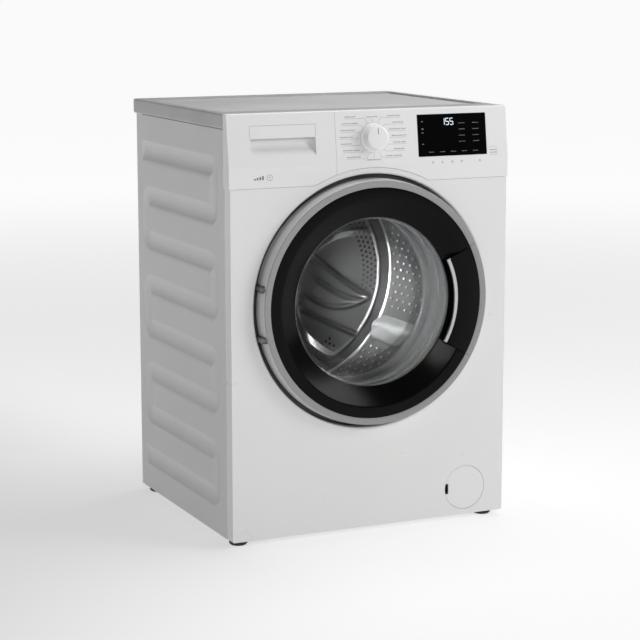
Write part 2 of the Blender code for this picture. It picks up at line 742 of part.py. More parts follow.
def door_outer_ring():
    """The silver ring: a front flange and a band that reaches into the recess."""
    profile = [
        (SILVER_INNER_R, DOOR_BAND_Y),
        (DOOR_FACE_R - 0.0012, DOOR_FACE_Y),
        (DOOR_FACE_R, DOOR_FACE_Y + 0.0012),
        (DOOR_R, -0.2543),
        (DOOR_R, DOOR_REAR_Y),
        (DOOR_R - 0.0030, DOOR_REAR_Y),
        (DOOR_R - 0.0035, -0.2660),
        (SILVER_INNER_R, -0.2660),
    ]
    obj = turned("door_outer_ring", profile, SILVER, steps=48)
    cut(obj, handle_cutter("cut_ring_handle", 0.0005, HANDLE_REAR_Y + 0.0005, 0.150))
    return cut(obj, *hinge_notches("ring_notch", -0.2190))


def door_bezel():
    """The black band and the cone that leads in to the glass."""
    outer = SILVER_INNER_R - GAP
    profile = [
        (GLASS_R, -0.2550),
        (CREASE_R, DOOR_BAND_Y),
        (outer, DOOR_BAND_Y),
        (outer, -0.2480),
        (GLASS_R, -0.2480),
    ]
    obj = turned("door_bezel", profile, BLACK_GLOSS, steps=48)
    hollow = [
        (GLASS_R + 0.0030, -0.2525),
        (CREASE_R + 0.0010, -0.2723),
        (outer - 0.0030, -0.2723),
        (outer - 0.0030, -0.2400),
        (GLASS_R + 0.0030, -0.2400),
    ]
    low, high = HANDLE_ANGLES
    kept = wedge("cut_bezel_kept", (low - 1.5, high + 1.5), (-0.30, -0.20))
    cut(obj, cut(turned("cut_bezel_hollow", hollow, steps=48), kept))
    cut(obj, handle_cutter("cut_bezel_handle", 0.0005, HANDLE_REAR_Y + 0.0005, 0.150))
    finger = [(0.1500, -0.2800), (0.2000, -0.2800), (0.2000, -0.2560), (0.1940, -0.2530), (0.1500, -0.2530)]
    sector = wedge("cut_finger_sector", (low + 0.3, high - 0.3), (-0.32, -0.20))
    pocket = combine(turned("cut_finger_pocket", finger, steps=48), sector, "INTERSECT")
    return cut(obj, pocket)


def door_handle():
    """The black plate of the handle, flush with the band on either side."""
    profile = [
        (0.1784, DOOR_BAND_Y),
        (SILVER_INNER_R - GAP, DOOR_BAND_Y),
        (SILVER_INNER_R - GAP, HANDLE_REAR_Y),
        (0.1784, HANDLE_REAR_Y),
    ]
    return handle_piece("door_handle", profile, BLACK_GLOSS)


def door_handle_rim():
    """The part of the silver ring that moves with the handle."""
    profile = [
        (SILVER_INNER_R, DOOR_BAND_Y),
        (DOOR_FACE_R - 0.0012, DOOR_FACE_Y),
        (DOOR_FACE_R, DOOR_FACE_Y + 0.0012),
        (DOOR_FACE_R + 0.0006, HANDLE_REAR_Y),
        (SILVER_INNER_R, HANDLE_REAR_Y),
    ]
    return handle_piece("door_handle_rim", profile, SILVER)


def door_handle_strip():
    """The bright strip along the handle's inner edge."""
    profile = [(0.1694, -0.2748), (0.1781, -0.2756), (0.1781, -0.2700), (0.1694, -0.2706)]
    return handle_piece("door_handle_strip", profile, CHROME)


def handle_piece(name, profile, material):
    obj = turned(name, profile, material, steps=48)
    sector = wedge(f"cut_sector_{name}", HANDLE_ANGLES, (-0.30, -0.20))
    return combine(obj, sector, "INTERSECT")


def door_glass():
    """The bowl, 4 mm thick, with a flange that the inner frame clamps."""
    front = [
        (0.0, -0.1400),
        (0.0700, -0.1412),
        (0.1120, -0.1460),
        (0.1270, -0.1530),
        (0.1350, -0.1650),
        (0.1520, -0.2350),
        (0.1590, -0.2450),
        (0.1660, -0.2477),
        (0.1780, -0.2477),
    ]
    rear = [
        (0.1780, -0.2440),
        (0.1680, -0.2437),
        (0.1625, -0.2415),
        (0.1560, -0.2330),
        (0.1388, -0.1630),
        (0.1297, -0.1500),
        (0.1130, -0.1422),
        (0.0700, -0.1372),
        (0.0, -0.1360),
    ]
    return turned("door_glass", front + rear, GLASS, steps=32, open_ends=True)


def door_inner_frame():
    """The ring behind the door, with the two arms that hold the hinge pins."""
    profile = [
        (0.1690, -0.2430),
        (0.1797, -0.2430),
        (0.1797, -0.2474),
        (0.2385, -0.2474),
        (0.2385, -0.2440),
        (0.2300, -0.2390),
        (0.1960, -0.2370),
        (0.1690, -0.2395),
    ]
    obj = turned("door_inner_frame", profile, GREY_PLASTIC, steps=40)
    cut(obj, *hinge_notches("frame_notch", -0.2320))
    for label, z in HINGE_ARMS:
        low = (HINGE_X - 0.0030, HINGE_Y - 0.0030, z - HINGE_ARM_HALF)
        join(obj, box(f"cut_hinge_arm_{label}", low, (-0.2240, -0.2400, z + HINGE_ARM_HALF)))
        ends = [(HINGE_X, HINGE_Y, z + end) for end in (-0.02, 0.02)]
        cut(obj, rod(f"cut_arm_bore_{label}", 0.0019, *ends, sides=12))
    slot = box("cut_hook_slot", (0.2130, -0.2500, AXIS_Z - 0.0080), (0.2260, -0.2200, AXIS_Z + 0.0080))
    return cut(obj, slot)


def door_hinge_bracket():
    """A plate on the recess floor with four lugs and two pins."""
    obj = box(
        "door_hinge_bracket",
        (-0.2400, RECESS_FLOOR_Y - GAP - 0.0020, HINGE_ARMS[0][1] - 0.0075),
        (-0.2120, RECESS_FLOOR_Y - GAP, HINGE_ARMS[1][1] + 0.0075),
        GALVANISED,
    )
    inner = HINGE_ARM_HALF + GAP
    for label, middle in HINGE_ARMS:
        for place, start, end in (("low", -inner - HINGE_LUG, -inner), ("high", inner, inner + HINGE_LUG)):
            low = (HINGE_X - 0.0028, HINGE_Y - 0.0035, middle + start)
            high = (HINGE_X + 0.0028, RECESS_FLOOR_Y - 0.0010, middle + end)
            join(obj, box(f"cut_lug_{label}_{place}", low, high))
        ends = [(HINGE_X, HINGE_Y, middle + end) for end in (-inner - 0.001, inner + 0.001)]
        join(obj, rod(f"cut_pin_{label}", 0.0015, *ends, sides=12))
    return obj


def door_latch_hook():
    """The hook that reaches through the recess floor into the lock."""
    low, high = (0.2155, -0.2460, AXIS_Z - 0.0060), (0.2195, -0.2120, AXIS_Z + 0.0060)
    obj = box("door_latch_hook", low, high, CHROME)
    nose = box("cut_hook_nose", (0.2190, -0.2160, AXIS_Z - 0.0060), (0.2235, -0.2120, AXIS_Z + 0.0060))
    return origin_at(join(obj, nose), (0.2175, -0.2440, AXIS_Z))


def door_lock():
    """The lock behind the recess floor, with a mouth for the hook."""
    low, high = (0.2060, -0.2240, AXIS_Z - 0.0300), (0.2450, -0.2020, AXIS_Z + 0.0300)
    obj = box("door_lock", low, high, GREY_PLASTIC)
    mouth = box("cut_lock_mouth", (0.2110, -0.2300, AXIS_Z - 0.0100), (0.2270, -0.2070, AXIS_Z + 0.0100))
    return cut(bevel(obj, 0.0015, 1), mouth)


def door_gasket():
    """The bellows between the recess and the tub's collar."""
    outer = [
        (0.1700, -0.2302),
        (0.1885, -0.2290),
        (0.1895, -0.2200),
        (0.2000, -0.2170),
        (0.2000, -0.1990),
        (0.1860, -0.1960),
        (0.1860, -0.1845),
    ]
    inner = [
        (0.1825, -0.1845),
        (0.1825, -0.1990),
        (0.1965, -0.2020),
        (0.1965, -0.2140),
        (0.1855, -0.2175),
        (0.1845, -0.2262),
        (0.1700, -0.2272),
    ]
    return turned("door_gasket", outer + inner, GREY_RUBBER, steps=32)


# --------------------------------------------------------------- tub and drum
def tub_front():
    """The front half of the tub: a drum wall, an annular front and the door collar."""
    inner = TUB_R - TUB_WALL
    profile = [
        (COLLAR_R - 0.0030, -0.1830),
        (COLLAR_R, -0.1830),
        (COLLAR_R, TUB_FRONT_Y),
        (TUB_R, TUB_FRONT_Y),
        (TUB_R, -GAP),
        (inner, -GAP),
        (inner, TUB_FRONT_Y + 0.005),
        (COLLAR_R - 0.0030, TUB_FRONT_Y + 0.005),
    ]
    obj = turned("tub_front", profile, TUB_PLASTIC, steps=36)
    for side in (-1, 1):
        x = side * DAMPER_X
        high = (x + 0.012, DAMPER_Y + 0.012, 0.2620)
        join(obj, box(f"cut_damper_lug_{side}", (x - 0.012, DAMPER_Y - 0.012, 0.2400), high))
    return obj


def tub_rear():
    """The rear half: wall, back and a hub for the bearing, with lugs for springs and motor."""
    inner = TUB_R - TUB_WALL
    hub_r, bore_r, hub_y = 0.0450, 0.0312, 0.2050
    profile = [
        (inner, 0.0),
        (TUB_R, 0.0),
        (TUB_R, TUB_REAR_Y),
        (hub_r, TUB_REAR_Y),
        (hub_r, hub_y),
        (bore_r, hub_y),
        (bore_r, TUB_REAR_Y - 0.005),
        (inner, TUB_REAR_Y - 0.005),
    ]
    obj = turned("tub_rear", profile, TUB_PLASTIC, steps=36)
    for side in (-1, 1):
        x = side * SPRING_X
        join(obj, box(f"cut_spring_lug_{side}", (x - 0.012, 0.028, 0.5600), (x + 0.012, 0.052, 0.5980)))
        x = side * 0.040
        join(obj, box(f"cut_motor_lug_{side}", (x - 0.008, 0.080, 0.1840), (x + 0.008, 0.150, 0.2150)))
    return obj


def front_counterweight():
    profile = [(0.2120, -0.2100), (0.2600, -0.2100), (0.2600, -0.1683), (0.2120, -0.1683)]
    obj = turned("front_counterweight", profile, CONCRETE, steps=36)
    lock_side = box("cut_weight_lock", (0.1500, -0.3, AXIS_Z - 0.045), (0.3, -0.15, AXIS_Z + 0.045))
    return cut(obj, lock_side)


def top_counterweight():
    """A concrete block on top of the tub, its underside hollowed to the tub's curve."""
    obj = box("top_counterweight", (-0.0600, -0.1200, 0.6800), (0.1700, 0.0100, 0.7800), CONCRETE)
    bevel(obj, 0.006, 1)
    tub = rod("cut_weight_tub", TUB_R + 0.0004, (0, -0.3, AXIS_Z), (0, 0.3, AXIS_Z), sides=72)
    return cut(obj, tub)


def heating_element():
    """A bent tube that lies in the tub under the drum."""
    radius, reach = 0.2475, 22
    bend = [(x, 0.100, z) for x, z in arc(radius, -90 - reach, -90 + reach, 5, (0, AXIS_Z))]
    points = [(bend[0][0], -0.155, bend[0][2]), *bend, (bend[-1][0], -0.155, bend[-1][2])]
    return tube("heating_element", points, 0.0032, STEEL)


def main_bearing():
    profile = [(0.0150, 0.1700), (0.0308, 0.1700), (0.0308, 0.2040), (0.0150, 0.2040)]
    return turned("main_bearing", profile, GALVANISED, steps=28)


def drum_shell():
    """The stainless drum, open at the front."""
    front, rear = DRUM_Y
    sheet = 0.0015
    profile = [
        (DRUM_MOUTH_R, front + 0.006),
        (DRUM_MOUTH_R + 0.003, front),
        (DRUM_R - 0.012, front),
        (DRUM_R, front + 0.012),
        (DRUM_R, rear),
        (0.0, rear),
        (0.0, rear - sheet),
        (DRUM_R - sheet, rear - sheet),
        (DRUM_R - sheet, front + 0.0125),
        (DRUM_R - 0.0125, front + sheet),
        (DRUM_MOUTH_R + 0.0045, front + sheet),
        (DRUM_MOUTH_R + 0.0015, front + 0.006),
    ]
    order = profile[6:] + profile[:6]
    obj = turned("drum_shell", order, STEEL, steps=36, open_ends=True)
    return obj


def drum_lifter(name, angle):
    """A paddle on the drum wall: a tapered ridge along the axis."""
    radius = DRUM_R - 0.0022
    outline = [(-0.030, -radius), (0.030, -radius), (0.024, -radius + 0.018), (0.010, -radius + 0.050)]
    outline += [(-0.010, -radius + 0.050), (-0.024, -radius + 0.018)]
    turn = math.radians(angle)
    cos, sin = math.cos(turn), math.sin(turn)
    placed = [(u * cos - v * sin, AXIS_Z + u * sin + v * cos) for u, v in outline]
    obj = slab(name, placed, "Y", DRUM_Y[0] + 0.016, DRUM_Y[1] - 0.006, GREY_RUBBER)
    wall = rod(f"cut_wall_{name}", radius - 0.0004, (0, -0.3, AXIS_Z), (0, 0.3, AXIS_Z), sides=72)
    return combine(obj, wall, "INTERSECT")


def drum_spider():
    """Three cast arms behind the drum, with the shaft through the bearing."""
    front = DRUM_Y[1] + GAP
    profile = [
        (0, front),
        (0.0500, front),
        (0.0500, front + 0.010),
        (0.0300, front + 0.016),
        (0.0146, front + 0.018),
        (0.0146, 0.2350),
        (0, 0.2350),
    ]
    obj = turned("drum_spider", profile, ALUMINIUM, steps=28, open_ends=True)
    outline = [(-0.022, 0.02), (0.022, 0.02), (0.014, 0.225), (-0.014, 0.225)]
    for k in range(3):
        arm = slab(f"cut_arm_{k}", outline, "Y", front, front + 0.010)
        turn = Matrix.Rotation(math.radians(30 + 120 * k), 4, "Y")
        arm.data.transform(Matrix.Translation((0, 0, AXIS_Z)) @ turn)
        join(obj, arm)
    return obj


def pulley(name, radius, centre, low_y, high_y, bore, spokes):
    """A flat belt pulley on its shaft."""
    middle = (low_y + high_y) / 2
    profile = [
        (bore, low_y),
        (0.028, low_y),
        (0.028, middle),
        (radius - 0.006, middle),
        (radius - 0.006, low_y),
        (radius, low_y),
        (radius, high_y),
        (radius - 0.006, high_y),
        (radius - 0.006, middle + 0.003),
        (bore, middle + 0.003),
    ]
    obj = turned(name, profile, ALUMINIUM, centre=centre, steps=36)
    for k in range(spokes):
        angle = 2 * math.pi * k / spokes
        x, z = centre[0] + 0.080 * math.cos(angle), centre[1] + 0.080 * math.sin(angle)
        cut(obj, rod(f"cut_{name}_{k}", 0.030, (x, low_y - 0.01, z), (x, high_y + 0.01, z), sides=12))
    return obj


def drive_belt():
    """The loop round both pulleys."""
    distance = AXIS_Z - MOTOR_Z
    big, small = DRUM_PULLEY_R + 0.0004, MOTOR_PULLEY_R + 0.0004
    lean = math.degrees(math.asin((big - small) / distance))

    def loop(extra):
        upper = arc(big + extra, -lean, 180 + lean, 30, (0, AXIS_Z))
        return upper + arc(small + extra, 180 + lean, 360 - lean, 12, (0, MOTOR_Z))

    y_range = (BELT_Y - BELT_WIDTH / 2, BELT_Y + BELT_WIDTH / 2)
    obj = slab("drive_belt", loop(0.003), "Y", *y_range, BLACK_RUBBER)
    return cut(obj, slab("cut_belt", loop(0.0), "Y", y_range[0] - 0.01, y_range[1] + 0.01))


def drive_motor():
    """The motor under the tub, with two feet up to the tub's lugs."""
    obj = rod("drive_motor", MOTOR_R, (0, 0.055, MOTOR_Z), (0, 0.200, MOTOR_Z), GALVANISED, 28)
    for side in (-1, 1):
        x = side * 0.040
        join(obj, box(f"cut_motor_foot_{side}", (x - 0.008, 0.080, 0.1500), (x + 0.008, 0.150, 0.1837)))
    bore = rod("cut_motor_bore", 0.0054, (0, 0.150, MOTOR_Z), (0, 0.210, MOTOR_Z), sides=16)
    return cut(obj, bore)


def motor_pulley():
    """The small pulley with the rotor's shaft."""
    profile = [
        (0, 0.1600),
        (0.0050, 0.1600),
        (0.0050, 0.2100),
        (MOTOR_PULLEY_R, 0.2100),
        (MOTOR_PULLEY_R, 0.2360),
        (0, 0.2360),
    ]
    return turned("motor_pulley", profile, ALUMINIUM, centre=(0, MOTOR_Z), steps=24, open_ends=True)


def suspension_spring(name, side):
    """A coil between the crossbar and the tub's lug."""
    low, high, turns, per_turn = 0.6000, 0.7980, 6, 7
    points = []
    for k in range(turns * per_turn + 1):
        angle = 2 * math.pi * k / per_turn
        z = low + (high - low) * k / (turns * per_turn)
        points.append((side * SPRING_X + 0.009 * math.cos(angle), SPRING_Y + 0.009 * math.sin(angle), z))
    return tube(name, points, 0.0015, GALVANISED)


def damper(side, label):
    """A cylinder on the base and a rod under the tub."""
    x = side * DAMPER_X
    base = PANEL_BOTTOM_Z + SHEET + GAP + 0.002 + GAP
    cylinder = rod(
        f"damper_cylinder_{label}", 0.0160, (x, DAMPER_Y, base), (x, DAMPER_Y, 0.150), GREY_PLASTIC, 20
    )
    bore = rod(f"cut_damper_{label}", 0.0112, (x, DAMPER_Y, base + 0.004), (x, DAMPER_Y, 0.2), sides=20)
    cut(cylinder, bore)
    rod(f"damper_rod_{label}", 0.0100, (x, DAMPER_Y, 0.0800), (x, DAMPER_Y, 0.2397), GALVANISED, 20)


def drain_pump():
    """The filter housing behind the flap, the pump and its feet."""
    y_front, y_back = -0.2180, -0.0850
    low_z = PANEL_BOTTOM_Z + SHEET + GAP + 0.002 + GAP
    ends = (FILTER_X, y_front, FILTER_Z), (FILTER_X, y_back, FILTER_Z)
    obj = rod("drain_pump", 0.0340, *ends, GREY_PLASTIC, 28)
    bore = rod("cut_pump_bore", 0.0300, (FILTER_X, -0.3, FILTER_Z), (FILTER_X, -0.1400, FILTER_Z), sides=28)
    port = rod("cut_pump_port", 0.0150, (FILTER_X, -0.155, FILTER_Z), (FILTER_X, -0.155, 0.1200), sides=20)
    port_bore = rod("cut_port_bore", 0.0120, (FILTER_X, -0.155, FILTER_Z), (FILTER_X, -0.155, 0.13), sides=20)
    feet = box("cut_pump_feet", (FILTER_X - 0.020, -0.2100, low_z), (FILTER_X + 0.020, -0.1000, 0.0450))
    return cut(join(obj, port, feet), bore, port_bore)


def pump_filter():
    """The screw-in filter: a knob with a grip and a basket."""
    profile = [
        (0, -0.2300),
        (0.0290, -0.2300),
        (0.0290, -0.2200),
        (0.0250, -0.2190),
        (0.0250, -0.1500),
        (0.0220, -0.1500),
        (0.0220, -0.2100),
        (0, -0.2100),
    ]
    obj = turned("pump_filter", profile, GREY_PLASTIC, centre=(FILTER_X, FILTER_Z), steps=28, open_ends=True)
    grip = box(
        "cut_filter_grip",
        (FILTER_X - 0.0040, -0.2440, FILTER_Z - 0.0240),
        (FILTER_X + 0.0040, -0.2290, FILTER_Z + 0.0240),
    )
    return join(obj, grip)


def filter_flap():
    """The round cover flush with the front, with a finger notch at its left."""
    ends = (FILTER_X, FRONT_Y, FILTER_Z), (FILTER_X, FRONT_Y + 0.0022, FILTER_Z)
    obj = rod("filter_flap", FLAP_R, *ends, WHITE_PLASTIC, 40)
    notch = box(
        "cut_flap_notch",
        (FILTER_X - FLAP_R - 0.01, FRONT_Y - 0.01, FILTER_Z - 0.0105),
        (FILTER_X - FLAP_R + 0.0075, FRONT_Y + 0.01, FILTER_Z + 0.0105),
    )
    return origin_at(cut(obj, notch), (FILTER_X + FLAP_R, FRONT_Y, FILTER_Z))


def sump_hose():
    """The rubber hose from the tub's lowest point to the pump."""
    top, bottom = (0.120, -0.155, 0.2210), (FILTER_X, -0.155, 0.1215)
    path = [top, (0.122, -0.155, 0.2000), (0.160, -0.155, 0.1720), (0.208, -0.155, 0.1480), bottom]
    path.insert(-1, (FILTER_X, -0.155, 0.1300))
    return tube("sump_hose", smooth_path(path, 12), 0.0140, BLACK_RUBBER)


def filling_hose():
    """The short hose from the dispenser into the tub."""
    path = [(-0.140, -0.020, z) for z in (0.7195, 0.7080, 0.6965)]
    return tube("filling_hose", path, 0.0140, BLACK_RUBBER)


# ------------------------------------------------------------------ assembly
def hang(name, point, pieces):
    """Parents moving pieces to an empty on their joint's axis, without moving them."""
    axis = bpy.data.objects.new(name, None)
    axis.location = point
    axis.empty_display_size = 0.05
    PARTS.objects.link(axis)
    for piece in pieces:
        obj = bpy.data.objects[piece]
        obj.parent = axis
        obj.matrix_parent_inverse = Matrix.Translation(point).inverted()
    return axis


def build():
    for label, side in (("left", -1), ("right", 1)):
        side_panel(f"{label}_side_panel", side)
        damper(side, label)
        suspension_spring(f"suspension_spring_{label}", side)
        for place, y in zip(("front", "rear"), FOOT_Y):
            leveling_foot(f"leveling_foot_{place}_{label}", side * FOOT_X, y)
    for piece in (
        front_panel,
        base_tray,
        rear_panel,
        rear_access_cover,
        top_crossbar,
        worktop_frame,
        worktop_board,
        control_fascia,
        display_window,
        control_board,
        programme_knob,
        drawer_front,
        drawer_tray,
        dispenser_housing,
        water_inlet_valve,
        drain_outlet_elbow,
        cable_gland,
        door_outer_ring,
        door_bezel,
        door_handle,
        door_handle_rim,
        door_handle_strip,
        door_glass,
        door_inner_frame,
        door_hinge_bracket,
        door_latch_hook,
        door_lock,
        door_gasket,
        tub_front,
        tub_rear,
        front_counterweight,
        top_counterweight,
        heating_element,
        main_bearing,
        drum_shell,
        drum_spider,
        drive_belt,
        drive_motor,
        motor_pulley,
        drain_pump,
        pump_filter,
        filter_flap,
        sump_hose,
        filling_hose,
    ):
        piece()
    for k in range(3):
        drum_lifter(f"drum_lifter_{k + 1}", 120 * k + 58)
    pulley("drum_pulley", DRUM_PULLEY_R, (0, AXIS_Z), 0.2180, 0.2320, 0.0149, 5)
    lifters = [f"drum_lifter_{k + 1}" for k in range(3)]
    hang("drum_axis", (0, DRUM_Y[1], AXIS_Z), ["drum_shell", "drum_spider", "drum_pulley", *lifters])
    door = ["door_outer_ring", "door_bezel", "door_glass", "door_inner_frame"]
    hang("door_hinge_axis", (HINGE_X, HINGE_Y, AXIS_Z), door)
    handle = ["door_handle", "door_handle_rim", "door_handle_strip"]
    hang("handle_axis", (HANDLE_AXIS_X, HANDLE_REAR_Y, AXIS_Z), handle)


build()
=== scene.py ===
"""Looks of the front loading washing machine: fine pieces, materials, light and camera."""

import math
import random

import bmesh
import bpy
from mathutils import Matrix, Vector


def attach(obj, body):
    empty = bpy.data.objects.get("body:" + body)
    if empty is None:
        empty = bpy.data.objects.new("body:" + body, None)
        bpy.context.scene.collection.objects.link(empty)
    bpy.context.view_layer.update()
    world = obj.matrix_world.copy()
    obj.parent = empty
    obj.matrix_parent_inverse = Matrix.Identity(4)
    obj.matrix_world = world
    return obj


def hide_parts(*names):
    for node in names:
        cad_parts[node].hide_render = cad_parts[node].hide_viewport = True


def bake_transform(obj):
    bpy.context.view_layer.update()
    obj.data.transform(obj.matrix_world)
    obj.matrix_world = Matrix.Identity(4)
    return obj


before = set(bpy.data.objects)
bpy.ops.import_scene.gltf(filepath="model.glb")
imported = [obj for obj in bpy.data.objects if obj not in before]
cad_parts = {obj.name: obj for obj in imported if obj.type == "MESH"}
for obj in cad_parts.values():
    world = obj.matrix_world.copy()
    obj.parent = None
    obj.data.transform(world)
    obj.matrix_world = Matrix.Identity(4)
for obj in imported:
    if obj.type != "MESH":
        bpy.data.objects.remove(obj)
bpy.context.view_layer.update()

# Metres: X to the right, Y to the rear, Z up.
AXIS_Z = 0.466  # the axis of the door and the drum
FRONT_Y = -0.250
SEAM_Z = 0.6988  # between the front panel and the fascia
CREASE_Z = 0.7391  # above it the fascia leans back
FASCIA_TOP_Y = -0.2369
FASCIA_REAR_Y = -0.2210
HEIGHT = 0.840
ARC_R = 0.2626  # of the seam's arc over the door
DRAWER_SEAM_X = -0.0763
HANDLE_ANGLES = (-30.2, 26.8)  # degrees round the axis
LARGE_STEPS, MIDDLE_STEPS = 240, 192  # facets round the turned parts
CUT_FRONT_Y, CUT_REAR_Y = -0.3, -0.2  # a cutter's ends, clear of the front on both sides
LEAN = math.atan2(FASCIA_TOP_Y - FRONT_Y, HEIGHT - CREASE_Z)
ACROSS = {"X": Matrix(((0, 0, 1, 0), (1, 0, 0, 0), (0, 1, 0, 0), (0, 0, 0, 1))),
          "Y": Matrix(((1, 0, 0, 0), (0, 0, -1, 0), (0, 1, 0, 0), (0, 0, 0, 1))),
          "Z": Matrix.Identity(4)}  # turns a flat outline to stand across each axis


# ------------------------------------------------------------------ materials
class Nodes:
    """A material's node tree, with the calls the looks below need."""

    def __init__(self, name, colour, roughness, metallic=0.0, **sockets):
        self.material = bpy.data.materials.new(name)
        self.material.use_nodes = True
        self.tree = self.material.node_tree
        self.shader = self.tree.nodes["Principled BSDF"]
        self.set("Base Color", (*colour, 1.0))
        self.set("Roughness", roughness)
        self.set("Metallic", metallic)
        for socket, value in sockets.items():
            self.set(socket.replace("_", " "), value)
        self.place = self.tree.nodes.new("ShaderNodeTexCoord").outputs["Object"]

    def set(self, socket, value):
        self.shader.inputs[socket].default_value = value

    def link(self, output, socket):
        self.tree.links.new(output, self.shader.inputs[socket])

    def noise(self, scale, detail=4.0, stretch=None, roughness=0.5):
        node = self.tree.nodes.new("ShaderNodeTexNoise")
        node.inputs["Scale"].default_value = scale
        node.inputs["Detail"].default_value = detail
        node.inputs["Roughness"].default_value = roughness
        place = self.place
        if stretch:
            mapping = self.tree.nodes.new("ShaderNodeMapping")
            mapping.inputs["Scale"].default_value = stretch
            self.tree.links.new(place, mapping.inputs["Vector"])
            place = mapping.outputs["Vector"]
        self.tree.links.new(place, node.inputs["Vector"])
        return node.outputs["Fac"]

    def ramp(self, output, low, high, start, stop):
        """Maps a 0..1 output to values or colours between low and high."""
        node = self.tree.nodes.new("ShaderNodeValToRGB")
        node.color_ramp.elements[0].position = start
        node.color_ramp.elements[1].position = stop
        for element, value in zip(node.color_ramp.elements, (low, high)):
            element.color = (*value, 1.0) if isinstance(value, tuple) else (value, value, value, 1.0)
        self.tree.links.new(output, node.inputs["Fac"])
        return node.outputs["Color"]

    def tone(self, output, colour, low, high, start=0.3, stop=0.7):
        """Varies the base colour between two shades of itself."""
        self.link(self.ramp(output, shade(colour, low), shade(colour, high), start, stop), "Base Color")

    def gloss(self, output, low, high, start=0.3, stop=0.7):
        """Varies the roughness."""
        self.link(self.ramp(output, low, high, start, stop), "Roughness")

    def bump(self, output, strength, distance):
        node = self.tree.nodes.new("ShaderNodeBump")
        node.inputs["Strength"].default_value = strength
        node.inputs["Distance"].default_value = distance
        self.tree.links.new(output, node.inputs["Height"])
        self.link(node.outputs["Normal"], "Normal")
        return self


def shade(colour, factor):
    return tuple(c * factor for c in colour)


def painted(name, colour, roughness, peel=900.0, coat=0.25, depth=0.00004, specular=0.5):
    """Enamel or gloss plastic: faint orange peel and slight variation of tone and gloss."""
    made = Nodes(name, colour, roughness, Coat_Weight=coat, Coat_Roughness=0.08, Specular_IOR_Level=specular)
    made.tone(made.noise(6.0, 5.0), colour, 0.985, 1.01)
    made.gloss(made.noise(14.0, 6.0), roughness * 0.9, roughness * 1.1)
    return made.bump(made.noise(peel, 2.0), 0.12, depth).material


def moulded(name, colour, roughness, grain=1800.0, strength=0.25):
    """Matt plastic with a fine eroded grain."""
    made = Nodes(name, colour, roughness)
    made.tone(made.noise(9.0, 6.0), colour, 0.94, 1.05)
    made.gloss(made.noise(60.0, 4.0), roughness * 0.88, roughness * 1.12)
    return made.bump(made.noise(grain, 3.0), strength, 0.00008).material


def sheet_metal(name, colour, roughness, stretch=(1.0, 1.0, 1.0), strength=0.12):
    """Rolled metal, or brushed where its noise is stretched into lines."""
    made = Nodes(name, colour, roughness, 1.0)
    lines = made.noise(6.0, 8.0, stretch, 0.7)
    made.tone(lines, colour, 0.88, 1.10)
    made.gloss(lines, roughness * 0.75, roughness * 1.3)
    return made.bump(lines, strength, 0.00005).material


def galvanised(name, colour):
    """Zinc coated sheet with its crystal spangle."""
    made = Nodes(name, colour, 0.42, 0.9)
    cells = made.tree.nodes.new("ShaderNodeTexVoronoi")
    cells.inputs["Scale"].default_value = 90.0
    made.tree.links.new(made.place, cells.inputs["Vector"])
    made.tone(cells.outputs["Color"], colour, 0.86, 1.12, 0.0, 1.0)
    made.gloss(cells.outputs["Color"], 0.34, 0.52, 0.0, 1.0)
    return made.bump(made.noise(700.0, 3.0), 0.08, 0.00005).material


def cast(name, colour, roughness, metallic, scale=350.0, strength=0.5, depth=0.0004):
    """Cast metal or concrete: a grainy surface with pores."""
    made = Nodes(name, colour, roughness, metallic)
    grain = made.noise(scale, 10.0, None, 0.7)
    made.tone(grain, colour, 0.72, 1.22)
    made.gloss(made.noise(40.0), roughness * 0.9, min(1.0, roughness * 1.1))
    return made.bump(grain, strength, depth).material


def clear_glass(name):
    """Thin clear glass: see-through straight on, a mirror at a glancing angle."""
    made = Nodes(name, (0.64, 0.65, 0.655), 0.02, 1.0)
    facing = made.tree.nodes.new("ShaderNodeFresnel")
    facing.inputs["IOR"].default_value = 1.52
    made.gloss(made.noise(5.0, 3.0), 0.06, 0.09)
    made.link(made.ramp(facing.outputs["Fac"], 0.002, 0.30, 0.06, 0.80), "Alpha")
    return made.material


WHITE = painted("white_enamel", (0.78, 0.78, 0.775), 0.30)
# A darker copy of the white enamel: painted shade for the dimmer light on the sides.
SIDE = painted("white_enamel_side_painted_shade", (0.68, 0.68, 0.675), 0.50, 1500.0, 0.0)
FASCIA = painted("white_gloss_plastic", (0.80, 0.80, 0.795), 0.30, 1400.0, 0.15)
FLAP = painted("white_satin_plastic", (0.79, 0.79, 0.785), 0.34, 1500.0, 0.15)
BAND = moulded("worktop_band", (0.47, 0.47, 0.465), 0.42, 1500.0, 0.12)
LAMINATE = moulded("worktop_laminate", (0.58, 0.58, 0.575), 0.46, 1100.0, 0.18)
SILVER = painted("silver_lacquer", (0.28, 0.28, 0.285), 0.30, 2500.0, 0.35)
# A paler copy of the silver lacquer: a painted highlight for the ring's outer wall.
RIM_HIGHLIGHT = painted("silver_rim_painted_highlight", (0.62, 0.62, 0.625), 0.34, 2500.0, 0.2)
CHROME = sheet_metal("satin_chrome", (0.52, 0.52, 0.53), 0.18, (1.0, 1.0, 60.0), 0.03)
BLACK = painted("black_gloss", (0.0026, 0.0026, 0.0028), 0.20, 1600.0, 0.0, 0.00002, 0.09)
DISPLAY = painted("display_black", (0.002, 0.002, 0.0022), 0.07, 2600.0, 0.0, 0.00001, 0.2)
RUBBER = moulded("black_rubber", (0.013, 0.013, 0.013), 0.62, 900.0, 0.3)
GASKET = moulded("grey_rubber", (0.34, 0.345, 0.35), 0.48, 900.0, 0.2)
GREY = moulded("grey_plastic", (0.22, 0.225, 0.23), 0.45)
PALE = moulded("pale_plastic", (0.55, 0.56, 0.565), 0.42, 1400.0, 0.15)
TUB = moulded("tub_plastic", (0.50, 0.51, 0.52), 0.50, 500.0, 0.4)
STEEL = sheet_metal("drum_steel", (0.50, 0.505, 0.51), 0.56)
